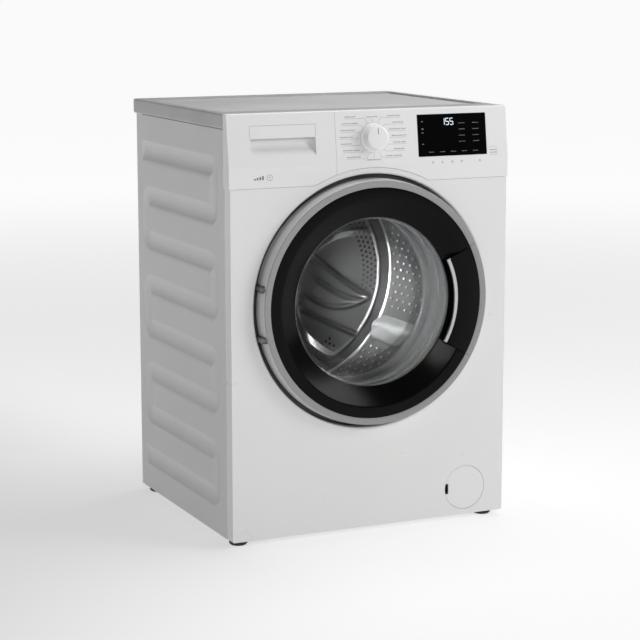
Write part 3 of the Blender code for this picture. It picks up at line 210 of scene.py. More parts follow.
# A darker copy of the drum's steel: painted shade for the dim light on the rear wall deep in the drum.
STEEL_SHADED = sheet_metal("drum_rear_steel_painted_shade", (0.105, 0.106, 0.108), 0.44)
# Pale matt dots on the drum's steel: painted glints where the embossed dots catch the light.
DIMPLE_GLINT = moulded("drum_dimples_painted_glint", (0.80, 0.80, 0.81), 0.30, 900.0, 0.1)
# Near black: painted shade for the dark seen through the drum's holes.
HOLE_SHADE = moulded("hole_painted_shade", (0.004, 0.004, 0.004), 0.8)
ZINC = galvanised("galvanised_sheet", (0.50, 0.51, 0.52))
ALUMINIUM = cast("cast_aluminium", (0.58, 0.58, 0.59), 0.42, 0.95, 500.0, 0.35, 0.0002)
CONCRETE = cast("concrete", (0.33, 0.32, 0.30), 0.92, 0.0)
BOARD = moulded("circuit_board", (0.03, 0.16, 0.07), 0.40, 600.0, 0.2)
PRINT = moulded("print_grey", (0.12, 0.13, 0.15), 0.50)
KNOB = painted("knob_plastic", (0.82, 0.82, 0.815), 0.30, 1500.0, 0.2)
# Dark grey for the seal and bracket, and also painted shade on the outer floor of the door's recess.
TRIM_AND_SHADE = moulded("seal_grey_and_painted_shade", (0.11, 0.11, 0.11), 0.35, 1200.0, 0.1)
SEAM = moulded("seam_shadow", (0.055, 0.055, 0.055), 0.8)
GLASS = clear_glass("door_glass")


def lamp(name, colour, strength):
    """A lit segment under the display's cover."""
    made = Nodes(name, shade(colour, 0.2), 0.4)
    glow = made.noise(300.0, 2.0)
    made.link(made.ramp(glow, shade(colour, 0.92), colour, 0.3, 0.7), "Emission Color")
    made.set("Emission Strength", strength)
    return made.material


LIT = lamp("display_lit", (0.85, 0.92, 1.0), 1.1)
DIM = lamp("display_dim", (0.55, 0.60, 0.66), 0.16)


# -------------------------------------------------------------------- shapes
def new_object(name, data):
    obj = bpy.data.objects.new(name, data)
    bpy.context.scene.collection.objects.link(obj)
    return obj


def add(name, mesh, material, body=None, nodes=()):
    """A new piece that rides on a body and may replace CAD nodes."""
    obj = new_object(name, mesh)
    mesh.materials.clear()
    mesh.materials.append(material)
    if body:
        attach(obj, body)
    if nodes:
        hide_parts(*nodes)
    return obj


def smooth(mesh, angle=30):
    """Smooth shading, with the edges that turn by more than the angle kept sharp."""
    mesh.shade_smooth()
    mesh.set_sharp_from_angle(angle=math.radians(angle))
    return mesh


def plain_mesh(made, name, angle=30):
    mesh = bpy.data.meshes.new(name)
    made.to_mesh(mesh)
    made.free()
    return smooth(mesh, angle)


def finish_mesh(made, name, angle=30):
    """The mesh with its doubled points welded and its normals outwards."""
    bmesh.ops.remove_doubles(made, verts=made.verts, dist=0.000002)
    bmesh.ops.recalc_face_normals(made, faces=made.faces)
    return plain_mesh(made, name, angle)


def merged(name, *meshes):
    """Several closed meshes as one."""
    made = bmesh.new()
    for mesh in meshes:
        made.from_mesh(mesh)
    return plain_mesh(made, name)


def box_mesh(name, low, high):
    """The box between two corners."""
    low, high = Vector(low), Vector(high)
    made = bmesh.new()
    bmesh.ops.create_cube(made, size=1.0)
    for vertex in made.verts:
        for i in range(3):
            vertex.co[i] = (low[i] + high[i]) / 2 + vertex.co[i] * (high[i] - low[i])
    return finish_mesh(made, name)


def band_faces(made, one, two, closed=True):
    """Faces between two rows of points that lie side by side."""
    for i in range(len(one) if closed else len(one) - 1):
        j = (i + 1) % len(one)
        made.faces.new((one[i], one[j], two[j], two[i]))


def circle_points(centre, along, across, radius, sides):
    """Points of the circle that two directions span."""
    turns = [2 * math.pi * k / sides for k in range(sides)]
    return [centre + along * (math.cos(t) * radius) + across * (math.sin(t) * radius) for t in turns]


def lathe_mesh(name, profile, steps, centre=(0.0, AXIS_Z), angle=30):
    """A closed outline of (radius, y) points turned round an axis along Y."""
    made = bmesh.new()
    rows = []
    for k in range(steps):
        turn = math.radians(360.0 * k / steps)
        cos, sin = math.cos(turn), math.sin(turn)
        rows.append([made.verts.new((centre[0] + r * cos, y, centre[1] + r * sin)) for r, y in profile])
    for one, two in zip(rows, rows[1:] + rows[:1]):
        band_faces(made, one, two)
    return finish_mesh(made, name, angle)


def ring_mesh(name, inner, outer, low, high, steps=128, centre=(0.0, AXIS_Z)):
    """A plain ring between two depths, or a disc where inner is 0."""
    return lathe_mesh(name, [(inner, low), (outer, low), (outer, high), (inner, high)], steps, centre)


def rounded(profile, radii, count=5, closed=True):
    """The profile with its corners rounded; radii is one number or one for each corner."""
    if isinstance(radii, (int, float)):
        radii = [radii] * len(profile)
    points = [Vector(p) for p in profile]
    result = []
    for i, (point, radius) in enumerate(zip(points, radii)):
        if not closed and i in (0, len(points) - 1) or radius <= 0:
            result.append(tuple(point))
            continue
        before, after = points[i - 1] - point, points[(i + 1) % len(points)] - point
        angle = before.angle(after)
        reach = min(radius / math.tan(angle / 2), before.length * 0.48, after.length * 0.48)
        true_radius = reach * math.tan(angle / 2)
        start, end = point + before.normalized() * reach, point + after.normalized() * reach
        middle = (before.normalized() + after.normalized()).normalized()
        hub = point + middle * (true_radius / math.sin(angle / 2))
        a, b = start - hub, end - hub
        sweep = a.angle_signed(b) * -1
        for k in range(count + 1):
            turn = sweep * k / count
            cos, sin = math.cos(turn), math.sin(turn)
            result.append((hub.x + a.x * cos - a.y * sin, hub.y + a.x * sin + a.y * cos))
    return result


def slab_mesh(name, outline, axis, low, high):
    """A flat outline given thickness along an axis."""
    curve = bpy.data.curves.new(name, "CURVE")
    curve.dimensions = "2D"
    curve.fill_mode = "BOTH"
    curve.extrude = (high - low) / 2
    spline = curve.splines.new("POLY")
    spline.points.add(len(outline) - 1)
    for point, (u, v) in zip(spline.points, outline):
        point.co = (u, v, 0, 1)
    spline.use_cyclic_u = True
    guide = new_object(name, curve)
    mesh = bpy.data.meshes.new_from_object(guide.evaluated_get(bpy.context.evaluated_depsgraph_get()))
    bpy.data.objects.remove(guide, do_unlink=True)
    made = bmesh.new()
    made.from_mesh(mesh)
    middle = (low + high) / 2
    lift = Matrix.Translation((0, 0, -middle if axis == "Y" else middle))
    made.transform(ACROSS[axis] @ lift)
    return finish_mesh(made, name)


def apply_modifiers(obj, angle=30):
    """Bakes the modifiers into the mesh, so that the piece's mesh is what renders."""
    graph = bpy.context.evaluated_depsgraph_get()
    mesh = bpy.data.meshes.new_from_object(obj.evaluated_get(graph))
    obj.modifiers.clear()
    obj.data = smooth(mesh, angle)


def even_normals(obj):
    """Lets the large flat faces set the shading, so that small fillets don't bend their light."""
    normals = obj.modifiers.new("normals", "WEIGHTED_NORMAL")
    normals.keep_sharp = True
    normals.weight = 100


def carve(obj, cutters, operation="DIFFERENCE"):
    """Cuts meshes out of a piece, or joins them to it."""
    helpers = []
    for k, mesh in enumerate(cutters):
        helper = new_object(f"helper_{k}", mesh)
        change = obj.modifiers.new(f"carve_{k}", "BOOLEAN")
        change.operation = operation
        change.solver = "EXACT"
        change.object = helper
        helpers.append(helper)
    apply_modifiers(obj)
    for helper in helpers:
        bpy.data.objects.remove(helper, do_unlink=True)
    return obj


def carved_mesh(name, mesh, cutters, operation="DIFFERENCE"):
    """Does the same to a bare mesh that becomes a cutter itself."""
    helper = new_object(name, mesh)
    mesh = carve(helper, cutters, operation).data
    bpy.data.objects.remove(helper, do_unlink=True)
    return mesh


def soften(obj, width, segments, limit=35):
    """Rounds the sharp edges."""
    edges = obj.modifiers.new("edges", "BEVEL")
    edges.width = width
    edges.segments = segments
    edges.limit_method = "ANGLE"
    edges.angle_limit = math.radians(limit)
    edges.harden_normals = False
    apply_modifiers(obj)


def arc(radius, start, end, count, centre=(0.0, 0.0)):
    """Points on an arc between two angles in degrees."""
    turns = [math.radians(start + (end - start) * i / (count - 1)) for i in range(count)]
    return [(centre[0] + radius * math.cos(a), centre[1] + radius * math.sin(a)) for a in turns]


def away_from(u, v, start, end):
    """The distance of a point from the stretch between two others."""
    du, dv = end[0] - start[0], end[1] - start[1]
    share = max(0.0, min(1.0, ((u - start[0]) * du + (v - start[1]) * dv) / (du * du + dv * dv)))
    return math.hypot(u - start[0] - share * du, v - start[1] - share * dv)


def on_face(s, depth=0.0):
    """(y, z) on the leaning part of the fascia, s up from the crease, depth inwards."""
    y = FRONT_Y + s * math.sin(LEAN) + depth * math.cos(LEAN)
    z = CREASE_Z + s * math.cos(LEAN) - depth * math.sin(LEAN)
    return y, z


def face_matrix(x, s):
    """Puts a shape modelled about the origin, facing -Y, on the leaning face."""
    return Matrix.Translation((x, *on_face(s))) @ Matrix.Rotation(-LEAN, 4, "X")


def face_slab_mesh(name, outline, depth_low, depth_high):
    """An outline in (x, s) on the leaning face, between two depths behind it."""
    mesh = slab_mesh(name, outline, "Y", depth_low, depth_high)
    mesh.transform(face_matrix(0.0, 0.0))
    return mesh


def wedge_mesh(name, angles, y_low, y_high):
    """The sector between two angles round the axis, far wider than the door."""
    low, high = (math.radians(a) for a in angles)
    far = 0.34 / math.cos((high - low) / 2)
    outline = [(0.0, AXIS_Z)] + [(far * math.cos(a), AXIS_Z + far * math.sin(a)) for a in (low, high)]
    return slab_mesh(name, outline, "Y", y_low, y_high)


def look(node, material):
    """Gives a CAD node a better material."""
    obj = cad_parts[node]
    obj.data.materials.clear()
    obj.data.materials.append(material)
    smooth(obj.data)


# ------------------------------------------------------------------ cabinet
CHANNEL_HALF = 0.0205  # half the width of the channel pressed into each side
CHANNEL_DEPTH = 0.0040
CHANNEL_FRONT_Y, CHANNEL_REAR_Y = -0.167, 0.211
CHANNEL_TOP_Z, CHANNEL_PITCH, CHANNEL_COUNT = 0.7358, 0.09276, 8
CHANNEL_END_Y = 0.2315
CHANNEL_BEND = 0.018
SIDE_X, SIDE_FRONT_Y, SIDE_REAR_Y = 0.298, -0.2208, 0.2624
SHEET = 0.0008  # thickness of the side's steel
RECESS_Y = -0.2260  # the floor of the recess round the door
FLAP_CENTRE = (0.211, 0.0691)  # (x, z) of the filter's round cover


def channel_route():
    """The middle of the pressed channel, (y, z) from its upper rear end to its lower rear end."""
    corners = [(CHANNEL_END_Y + 0.03, CHANNEL_TOP_Z)]
    for k in range(CHANNEL_COUNT - 1):
        turn_y = CHANNEL_FRONT_Y if k % 2 == 0 else CHANNEL_REAR_Y
        z = CHANNEL_TOP_Z - k * CHANNEL_PITCH
        corners += [(turn_y, z), (turn_y, z - CHANNEL_PITCH)]
    corners.append((CHANNEL_END_Y + 0.03, CHANNEL_TOP_Z - (CHANNEL_COUNT - 1) * CHANNEL_PITCH))
    return rounded(corners, CHANNEL_BEND, 5, closed=False)


ROUTE = channel_route()


def channel_depth(y, z):
    """How far the panel is pressed in: a shallow round-bottomed channel."""
    nearest = 1.0
    for start, end in zip(ROUTE, ROUTE[1:]):
        if min(start[1], end[1]) - 0.03 < z < max(start[1], end[1]) + 0.03:
            nearest = min(nearest, away_from(y, z, start, end))
    share = 1.0 - (nearest / CHANNEL_HALF) ** 2
    fade = max(0.0, min(1.0, (CHANNEL_END_Y - y) / 0.010))
    share = min(share, 1.0) * fade * (2.0 - fade)
    edge = 0.04
    if share <= -edge:
        return 0.0
    if share < edge:
        share = (share + edge) ** 2 / (4 * edge)
    return CHANNEL_DEPTH * share


def spaced(marks, fine, coarse, reach, low, high):
    """Grid positions from low to high, close together within reach of each mark."""
    at, result = low, []
    while at < high:
        result.append(at)
        at += fine if any(abs(at - mark) < reach for mark in marks) else coarse
    return [*result, high]


def side_panel(name, side):
    """A thin sheet with the winding channel, its front and rear edges folded in."""
    middles = [CHANNEL_TOP_Z - k * CHANNEL_PITCH for k in range(CHANNEL_COUNT)]
    ys = spaced((CHANNEL_FRONT_Y, CHANNEL_REAR_Y), 0.0022, 0.010, 0.040, SIDE_FRONT_Y, SIDE_REAR_Y)
    zs = spaced(middles, 0.0016, 0.006, 0.025, 0.0137, 0.8095)
    made = bmesh.new()
    fold = ((0.0058, 0.0), (0.0012, 0.0), (0.0004, 0.0004), (0.0, 0.0012))
    rows = []
    for z in zs:
        row = [(x, SIDE_FRONT_Y + y) for x, y in fold]
        row += [(channel_depth(y, z), y) for y in ys if SIDE_FRONT_Y + 0.0018 < y < SIDE_REAR_Y - 0.0018]
        row += [(x, SIDE_REAR_Y - y) for x, y in reversed(fold)]
        rows.append([made.verts.new((side * (SIDE_X - x), y, z)) for x, y in row])
    for lower, upper in zip(rows, rows[1:]):
        for a, b, c, d in zip(lower, lower[1:], upper[1:], upper):
            made.faces.new((a, b, c, d) if side > 0 else (d, c, b, a))
    # The side takes the darker enamel copy, which is painted shade.
    obj = add(f"fine_{name}", finish_mesh(made, name, 40), SIDE, "cabinet", [name])
    shell = obj.modifiers.new("sheet", "SOLIDIFY")
    shell.thickness = SHEET
    shell.offset = -1
    apply_modifiers(obj, 40)


def front_outline(grow=0.0):
    """(x, z) of the front panel, with the arc that rises over the door."""
    side, bottom, top = SIDE_X + grow, 0.0135 - grow, SEAM_Z + grow
    radius = ARC_R + grow
    start = math.degrees(math.asin((top - AXIS_Z) / radius))
    rise = arc(radius, start, 180 - start, 49, (0, AXIS_Z))
    corners = [(-side, bottom), (side, bottom), (side, top), *rise, (-side, top)]
    return rounded(corners, [0.003, 0.003] + [0.0] * (len(rise) + 2), 4)


def front_panel():
    """The pressed front with rounded folds, the stepped recess for the door and the hole for the flap."""
    obj = add("fine_front_panel", slab_mesh("front", front_outline(), "Y", FRONT_Y, -0.2220), WHITE,
              "cabinet", ["front_panel"])
    soften(obj, 0.0022, 4, 60)
    carve(obj, [slab_mesh("inside", front_outline(-0.0012), "Y", -0.2488, 0.0)])
    carve(obj, [ring_mesh("cup", 0.1860, 0.2522, -0.2494, RECESS_Y + 0.0012)], "UNION")
    lip = arc(0.0040, 180, 270, 7, (0.2550, -0.2460))
    foot = arc(0.0045, 0, 90, 6, (0.2465, -0.2305))
    mouth = arc(0.0010, 270, 180, 4, (0.1910, RECESS_Y + 0.0010))
    hollow = [(0.0, -0.2600), (0.2550, -0.2600), *reversed(lip), *foot, (0.2380, RECESS_Y), *mouth,
              (0.1900, -0.2200), (0.0, -0.2200)]
    carve(obj, [lathe_mesh("recess", hollow, 160)])
    hole = ring_mesh("hole", 0.0, 0.0452, -0.2700, -0.2400, 96, FLAP_CENTRE)
    latch_slot = box_mesh("slot", (0.2110, -0.24, AXIS_Z - 0.0100), (0.2270, -0.20, AXIS_Z + 0.0100))
    carve(obj, [hole, latch_slot])
    # The outer floor of the recess round the door gets the dark grey: painted shade where the panel's edge
    # hides it from the light.
    obj.data.materials.append(TRIM_AND_SHADE)
    for face in obj.data.polygons:
        away = math.hypot(face.center.x, face.center.z - AXIS_Z)
        if 0.2380 < away < 0.2505 and RECESS_Y - 0.0065 < face.center.y < RECESS_Y + 0.0010:
            face.material_index = 1


def worktop():
    """The band with its rounded rim, and the board sunk inside it."""
    obj = add("fine_worktop_band", box_mesh("band", (-0.3, -0.2206, 0.810), (0.3, 0.2765, 0.840)), BAND,
              "cabinet", ["worktop_frame"])
    soften(obj, 0.0042, 5)
    pocket = box_mesh("pocket", (-0.2835, -0.1743, 0.8203), (0.2835, 0.2398, 0.85))
    through = box_mesh("through", (-0.2740, -0.1640, 0.80), (0.2740, 0.2300, 0.83))
    body = box_mesh("body", (-0.2983, -0.23, 0.80), (0.2983, 0.2629, 0.8105))
    carve(obj, [pocket, through, body])
    soften(obj, 0.0007, 2, 60)
    board = add("fine_worktop_board", box_mesh("board", (-0.2832, -0.1740, 0.8203), (0.2832, 0.2395, 0.8365)),
                LAMINATE, "cabinet", ["worktop_board"])
    soften(board, 0.0008, 3)


def leveling_foot(label, x, y):
    """A rubber pad with a bevelled sole, a hexagon nut and the threaded stem."""
    sole = [(0.0, 0.0), (0.0148, 0.0), (0.0156, 0.0004), (0.0178, 0.0028), (0.0180, 0.0034), (0.0180, 0.0068),
            (0.0174, 0.0078), (0.0112, 0.0083), (0.0, 0.0083)]
    stem = [(0.0, 0.0120)]
    for k in range(20):
        z = 0.0125 + 0.0014 * k
        stem += [(0.0043, z), (0.0050, z + 0.0006)]
    stem.append((0.0, 0.0410))
    stand = Matrix.Translation((x, y, 0.0)) @ Matrix.Rotation(math.pi / 2, 4, "X")
    pad, thread = lathe_mesh("pad", sole, 64, (0, 0)), lathe_mesh("thread", stem, 24, (0, 0))
    for mesh in (pad, thread):
        mesh.transform(stand)
    node = f"leveling_foot_{label}"
    add(f"fine_{node}", merged(node, pad, thread), RUBBER, f"foot_{label}", [node])
    hexagon = [(x + px, y + py) for px, py in arc(0.0105, 0, 300, 6)]
    nut = add(f"fine_nut_{label}", slab_mesh("nut", hexagon, "Z", 0.0084, 0.0126), GREY, f"foot_{label}")
    soften(nut, 0.0006, 2)


def filter_flap():
    """The round cover with its eased edge and finger notch."""
    cover = [(0.0, FRONT_Y), (0.0439, FRONT_Y), (0.0445, FRONT_Y + 0.0003), (0.0447, FRONT_Y + 0.0009),
             (0.0447, -0.2478), (0.0, -0.2478)]
    obj = add("fine_filter_flap", lathe_mesh("flap", cover, 128, FLAP_CENTRE), FLAP, "flap",
              ["filter_flap"])
    carve(obj, [box_mesh("notch", (0.150, -0.27, 0.0586), (0.1738, -0.24, 0.0796))])
    soften(obj, 0.0003, 2, 60)


side_panel("left_side_panel", -1)
side_panel("right_side_panel", 1)
front_panel()
worktop()
for row, foot_y in (("front", -0.213), ("rear", 0.235)):
    for label, foot_x in (("left", -0.272), ("right", 0.272)):
        leveling_foot(f"{row}_{label}", foot_x, foot_y)
filter_flap()


# ------------------------------------------------------------------- fascia
FASCIA_WALL = 0.0025
WINDOW = (0.1008, 0.2532, 0.0063, 0.0884)  # left, right, low and top of the display on the leaning face
WINDOW_GAP = 0.0003
KNOB_X, KNOB_S = 0.0045, 0.0465
PRINT_DEPTH, LIGHT_DEPTH = -0.00006, -0.00002  # how far print and lit segments stand proud


def fascia_outline(inset=0.0):
    """(y, z) of the fascia's section; inset moves the front and top inwards."""
    top = HEIGHT - inset
    back = FASCIA_REAR_Y + (0.02 if inset else 0.0)
    low = SEAM_Z - 0.01 if inset else SEAM_Z + 0.0003
    return [(FRONT_Y + inset, low), (FRONT_Y + inset, CREASE_Z), (FASCIA_TOP_Y + inset, top), (back, top),
            (back, low)]


def fascia_piece(name, low_x, high_x, node, body):
    """A stretch of the fascia, hollow behind, with the arc over the door cut from it."""
    outline = rounded(fascia_outline(), [0.0008, 0.004, 0.0028, 0.0, 0.0], 4)
    obj = add(name, slab_mesh(name, outline, "X", low_x, high_x), FASCIA, body, [node])
    clear = ARC_R + 0.0006
    inside = slab_mesh("inside", fascia_outline(FASCIA_WALL), "X", low_x + FASCIA_WALL, high_x - FASCIA_WALL)
    keep = ring_mesh("keep", 0.0, clear + FASCIA_WALL, CUT_FRONT_Y, -0.1, MIDDLE_STEPS)
    floor = box_mesh("floor", (-0.4, -0.3, 0.6), (0.4, -0.1, SEAM_Z + 0.0028))
    inside = carved_mesh("inside", inside, [keep, floor])
    return carve(obj, [ring_mesh("arch", 0.0, clear, CUT_FRONT_Y, CUT_REAR_Y, MIDDLE_STEPS), inside])


def control_fascia():
    """The right part with the display's pocket and the knob's bore, and the wall behind the drawer's front."""
    obj = fascia_piece("fine_control_fascia", DRAWER_SEAM_X + 0.0003, 0.3, "control_fascia", "cabinet")
    wall_low = (-0.2965, -0.2245, SEAM_Z + 0.004)
    wall_high = (DRAWER_SEAM_X + 0.004, FASCIA_REAR_Y, HEIGHT - 0.004)
    wall = add("fine_fascia_back_wall", box_mesh("wall", wall_low, wall_high), FASCIA, "cabinet")
    opening = box_mesh("opening", (-0.2870, -0.3, 0.7410), (-0.0900, -0.2, 0.8040))
    carve(wall, [ring_mesh("arch", 0.0, ARC_R + 0.0031, CUT_FRONT_Y, CUT_REAR_Y, MIDDLE_STEPS), opening])
    pocket = face_slab_mesh("pocket", rounded(rectangle(*WINDOW, WINDOW_GAP), 0.0012), -0.01, 0.0015)
    bore = ring_mesh("bore", 0.0, 0.0042, -0.01, 0.01, 32, (0, 0))
    bore.transform(face_matrix(KNOB_X, KNOB_S))
    carve(obj, [pocket, bore])
    soften(obj, 0.0006, 2, 50)


def rectangle(low_u, high_u, low_v, high_v, grow=0.0):
    low_u, high_u, low_v, high_v = low_u - grow, high_u + grow, low_v - grow, high_v + grow
    return [(low_u, low_v), (high_u, low_v), (high_u, high_v), (low_u, high_v)]


def programme_knob():
    """A turned skirt and cap with rounded edges on a shaft, and the printed pointer."""
    skirt = [(0.0, -0.0060), (0.0238, -0.0060), (0.0240, -0.0046), (0.0262, -0.0040), (0.0279, -0.0031),
             (0.0285, -0.0022), (0.0285, -0.0008), (0.0, -0.0008)]
    cap = [(0.0, -0.0222), (0.0185, -0.0225), (0.0212, -0.0223), (0.0224, -0.0216), (0.0230, -0.0204),
           (0.0240, -0.0048), (0.0, -0.0048)]
    shaft = ring_mesh("shaft", 0.0, 0.0035, -0.0010, 0.0120, 144, (0, 0))
    knob = merged("knob", lathe_mesh("skirt", skirt, 144, (0, 0)), lathe_mesh("cap", cap, 144, (0, 0)), shaft)
    knob.transform(face_matrix(KNOB_X, KNOB_S))
    add("fine_programme_knob", knob, KNOB, "knob", ["programme_knob"])
    pointer = slab_mesh("pointer", rounded(rectangle(-0.0007, 0.0007, 0.0065, 0.0183), 0.0004), "Y",
                        -0.02256, -0.0221)
    pointer.transform(face_matrix(KNOB_X, KNOB_S))
    add("knob_pointer", pointer, PRINT, "knob")


def drawer_front():
    """The left part of the fascia with its scooped grip and the bar across it."""
    obj = fascia_piece("fine_drawer_front", -0.3, DRAWER_SEAM_X - 0.0003, "drawer_front", "drawer")
    cup = face_slab_mesh("cup", rectangle(-0.2560, -0.1165, 0.0160, 0.0800), 0.0010, 0.0165)
    carve(obj, [cup], "UNION")
    scoop = [(0.0168, -0.0010), (0.0168, 0.0000), (0.0200, 0.0006), (0.0250, 0.0034), (0.0300, 0.0065),
             (0.0360, 0.0094), (0.0420, 0.0115), (0.0490, 0.0132), (0.0560, 0.0140), (0.0680, 0.0140),
             (0.0712, 0.0130), (0.0730, 0.0105), (0.0732, 0.0075), (0.0724, 0.0052), (0.0710, 0.0045),
             (0.0575, 0.0045), (0.0556, 0.0040), (0.0540, 0.0018), (0.0530, -0.0010)]
    hollow = slab_mesh("scoop", [on_face(s, depth) for s, depth in scoop], "X", -0.2540, -0.1185)
    left_return = box_mesh("return", (-0.4, -0.3, 0.6), (-0.2971, FASCIA_REAR_Y, 0.9))
    behind = carved_mesh("behind", box_mesh("behind", (-0.4, -0.2251, 0.6), (0.0, -0.1, 0.9)), [left_return])
    carve(obj, [hollow, behind])
    soften(obj, 0.0005, 2, 50)
    left, right, low, top, line = -0.2546, -0.1179, 0.0532, 0.0782, 0.0004
    edges = [rectangle(left, left + line, low, top), rectangle(right - line, right, low, top),
             rectangle(left, right, top - line, top)]
    strips = [face_slab_mesh("seam", outline, PRINT_DEPTH, 0.0010) for outline in edges]
    add("grip_bar_seam", merged("seams", *strips), SEAM, "drawer")


def display_window():
    window = face_slab_mesh("window", rounded(rectangle(*WINDOW), 0.0010), 0.00002, 0.0012)
    obj = add("fine_display_window", window, DISPLAY, "cabinet", ["display_window"])
    soften(obj, 0.0004, 2)


def marks(name, outlines, material, depth=PRINT_DEPTH):
    """Thin printed or lit shapes on the leaning face."""
    add(name, merged(name, *(face_slab_mesh(name, outline, depth, 0.0001) for outline in outlines)), material,
        "cabinet")


def stroke(x0, s0, x1, s1, width):
    """A straight line of the given width as an outline."""
    along = Vector((x1 - x0, s1 - s0)).normalized() * (width / 2)
    across = Vector((-along.y, along.x))
    start, end = Vector((x0, s0)) - along, Vector((x1, s1)) + along
    return [tuple(corner) for corner in (start - across, end - across, end + across, start + across)]


def seven_segment(lit, x, s, width, height, thick):
    """The lit segments of a digit whose lower left corner is at (x, s)."""
    gap = thick * 0.7
    right, middle, top = x + width, s + height / 2, s + height
    ends = {"a": (x + gap, top, right - gap, top), "b": (right, middle + gap, right, top - gap),
            "c": (right, s + gap, right, middle - gap), "d": (x + gap, s, right - gap, s),
            "f": (x, middle + gap, x, top - gap), "g": (x + gap, middle, right - gap, middle)}
    return [stroke(*ends[segment], thick) for segment in lit]


def greeked(x, s, width, words, height=0.0021):
    """A row of small blocks that stands in for a line of small print."""
    random.seed(int(abs(x) * 10000 + s * 100000))
    cuts = sorted(random.uniform(0.25, 0.75) for _ in range(words - 1))
    stops = [0.0, *cuts, 1.0]
    gap = 0.0011
    rows = []
    for low, high in zip(stops, stops[1:]):
        start, end = x + low * width + (gap if low else 0.0), x + high * width
        at = start
        while at + 0.0008 < end:
            tall = height * random.choice((0.66, 0.66, 0.72, 1.0))
            rows.append(rectangle(at, min(at + 0.00075, end), s, s + tall))
            at += 0.0013
    return rows


LEADER_ROWS = range(-3, 4)
LEADER_PITCH = 0.0129  # between the rows of programme names
LEADER_STEP = math.radians(22.5)  # between two stops of the knob
LEADER_INNER_R, LEADER_OUTER_R = 0.0315, 0.0715  # round the knob's axis


def leader(side, row):
    """A leader line from its outer end: level to the knob's ray for that stop, then in along the ray."""
    height, angle = row * LEADER_PITCH, row * LEADER_STEP
    points = [(math.sqrt(LEADER_OUTER_R ** 2 - height ** 2), height)]
    if row:
        points.append((height / math.tan(angle), height))
    points.append((LEADER_INNER_R * math.cos(angle), LEADER_INNER_R * math.sin(angle)))
    return [(KNOB_X + side * x, KNOB_S + s) for x, s in points]


def printing():
    """Leader lines round the knob, blocks for small print, and the symbols below the display."""
    lines, names = [], []
    leaders = [leader(side, row) for side in (-1, 1) for row in reversed(LEADER_ROWS)]
    for k, points in enumerate(leaders):
        lines += [stroke(*a, *b, 0.00035) for a, b in zip(points, points[1:])]
        outer = points[0]
        width = 0.024 + 0.004 * ((k * 3) % 4)
        start = outer[0] if outer[0] < 0 else outer[0] - width
        names += greeked(start, outer[1] + 0.0028, width, 1 + k % 2)
    lines += [stroke(0.004, 0.0774, 0.004, 0.0842, 0.0004), stroke(0.004, 0.0105, 0.004, 0.0173, 0.0004)]
    names += greeked(-0.0085, 0.0868, 0.0240, 2) + greeked(-0.0120, 0.0040, 0.0300, 2)
    lines += [stroke(0.259, 0.0205, 0.278, 0.0205, 0.0003), stroke(0.259, 0.0049, 0.278, 0.0049, 0.0003)]
    names += greeked(0.2600, 0.0135, 0.0165, 1) + greeked(0.2600, 0.0085, 0.0165, 1)
    marks("programme_lines", lines, PRINT)
    marks("programme_marks", names, PRINT)


def lower_strip_symbols():
    """Small symbols on the upright strip: five keys, and four bars with a drum for the load."""
    front, rear = FRONT_Y + PRINT_DEPTH, FRONT_Y + 0.0001
    keys = []
    for x in (0.132, 0.153, 0.175, 0.196, 0.237):
        keys.append(ring_mesh("ring", 0.0016, 0.0021, front, rear, 24, (x, 0.7335)))
        keys.append(box_mesh("bar", (x - 0.0002, front, 0.7322), (x + 0.0002, rear, 0.7348)))
    add("key_symbols", merged("symbols", *keys), PRINT, "cabinet")
    low, drum = 0.7150, (-0.2170, 0.7190)
    load = []
    for k in range(4):
        x = -0.2490 + 0.0055 * k
        height = 0.0030 + 0.0016 * k
        load.append(box_mesh("bar", (x, front, low), (x + 0.0033, rear, low + height)))
    load.append(ring_mesh("drum", 0.0052, 0.0059, front, rear, 48, drum))
    load.append(ring_mesh("hub", 0.0, 0.0013, front, rear, 24, drum))
    add("load_symbols", merged("load", *load), PRINT, "drawer")


def display_lights():
    """Lit digits, and the dimmer rows of symbols round them."""
    digits = []
    for k, lit in enumerate(("bc", "afgcd", "afgcd")):
        digits += seven_segment(lit, 0.1545 + 0.0095 * k, 0.0672, 0.0065, 0.0125, 0.0013)
    marks("display_digits", digits, LIT, LIGHT_DEPTH)
    dim = [rectangle(0.1100, 0.1140, 0.0590, 0.0612)]
    for k in range(5):
        dim += greeked(0.1240 + 0.0245 * k, 0.0140, 0.0120, 1, 0.0016)
    for k in range(4):
        for x in (0.1920, 0.2230):
            dim += greeked(x, 0.0690 - 0.0120 * k, 0.0150, 1, 0.0015)
    for k in range(3):
        dim.append(rectangle(0.1095, 0.1135, 0.0740 - 0.0220 * k, 0.0752 - 0.0220 * k))
    marks("display_symbols", dim, DIM, LIGHT_DEPTH)


control_fascia()
programme_knob()
drawer_front()
display_window()
printing()
lower_strip_symbols()
display_lights()


# --------------------------------------------------------------------- door
BAND_Y = -0.2753  # the front of the black band
FACE_Y = -0.2765  # the front of the silver ring
SILVER_R = 0.2269  # the silver ring's inner edge
CONE_R = 0.2050  # the crease between the band and the cone
GLASS_R = 0.1674  # the cone's inner edge
HINGE_X, HINGE_Y = -0.2395, -0.2640
HINGE_HEIGHTS = (AXIS_Z - 0.056, AXIS_Z + 0.042)  # the middle of each arm
HINGE_NOTCH = 0.0066
HINGE_ARM = 0.0032
HANDLE_REAR_Y = -0.2690
HANDLE_GAP = 0.0005


def handle_sector():
    """The part of the door's front that the handle and the gap round it take, as a cutter."""
    low, high = HANDLE_ANGLES
    edge = math.degrees(HANDLE_GAP / 0.24)
    wedge = wedge_mesh("sector", (low - edge, high + edge), -0.30, HANDLE_REAR_Y + HANDLE_GAP)
    return carved_mesh("sector", wedge, [ring_mesh("core", 0.0, 0.150, -0.31, -0.20)])


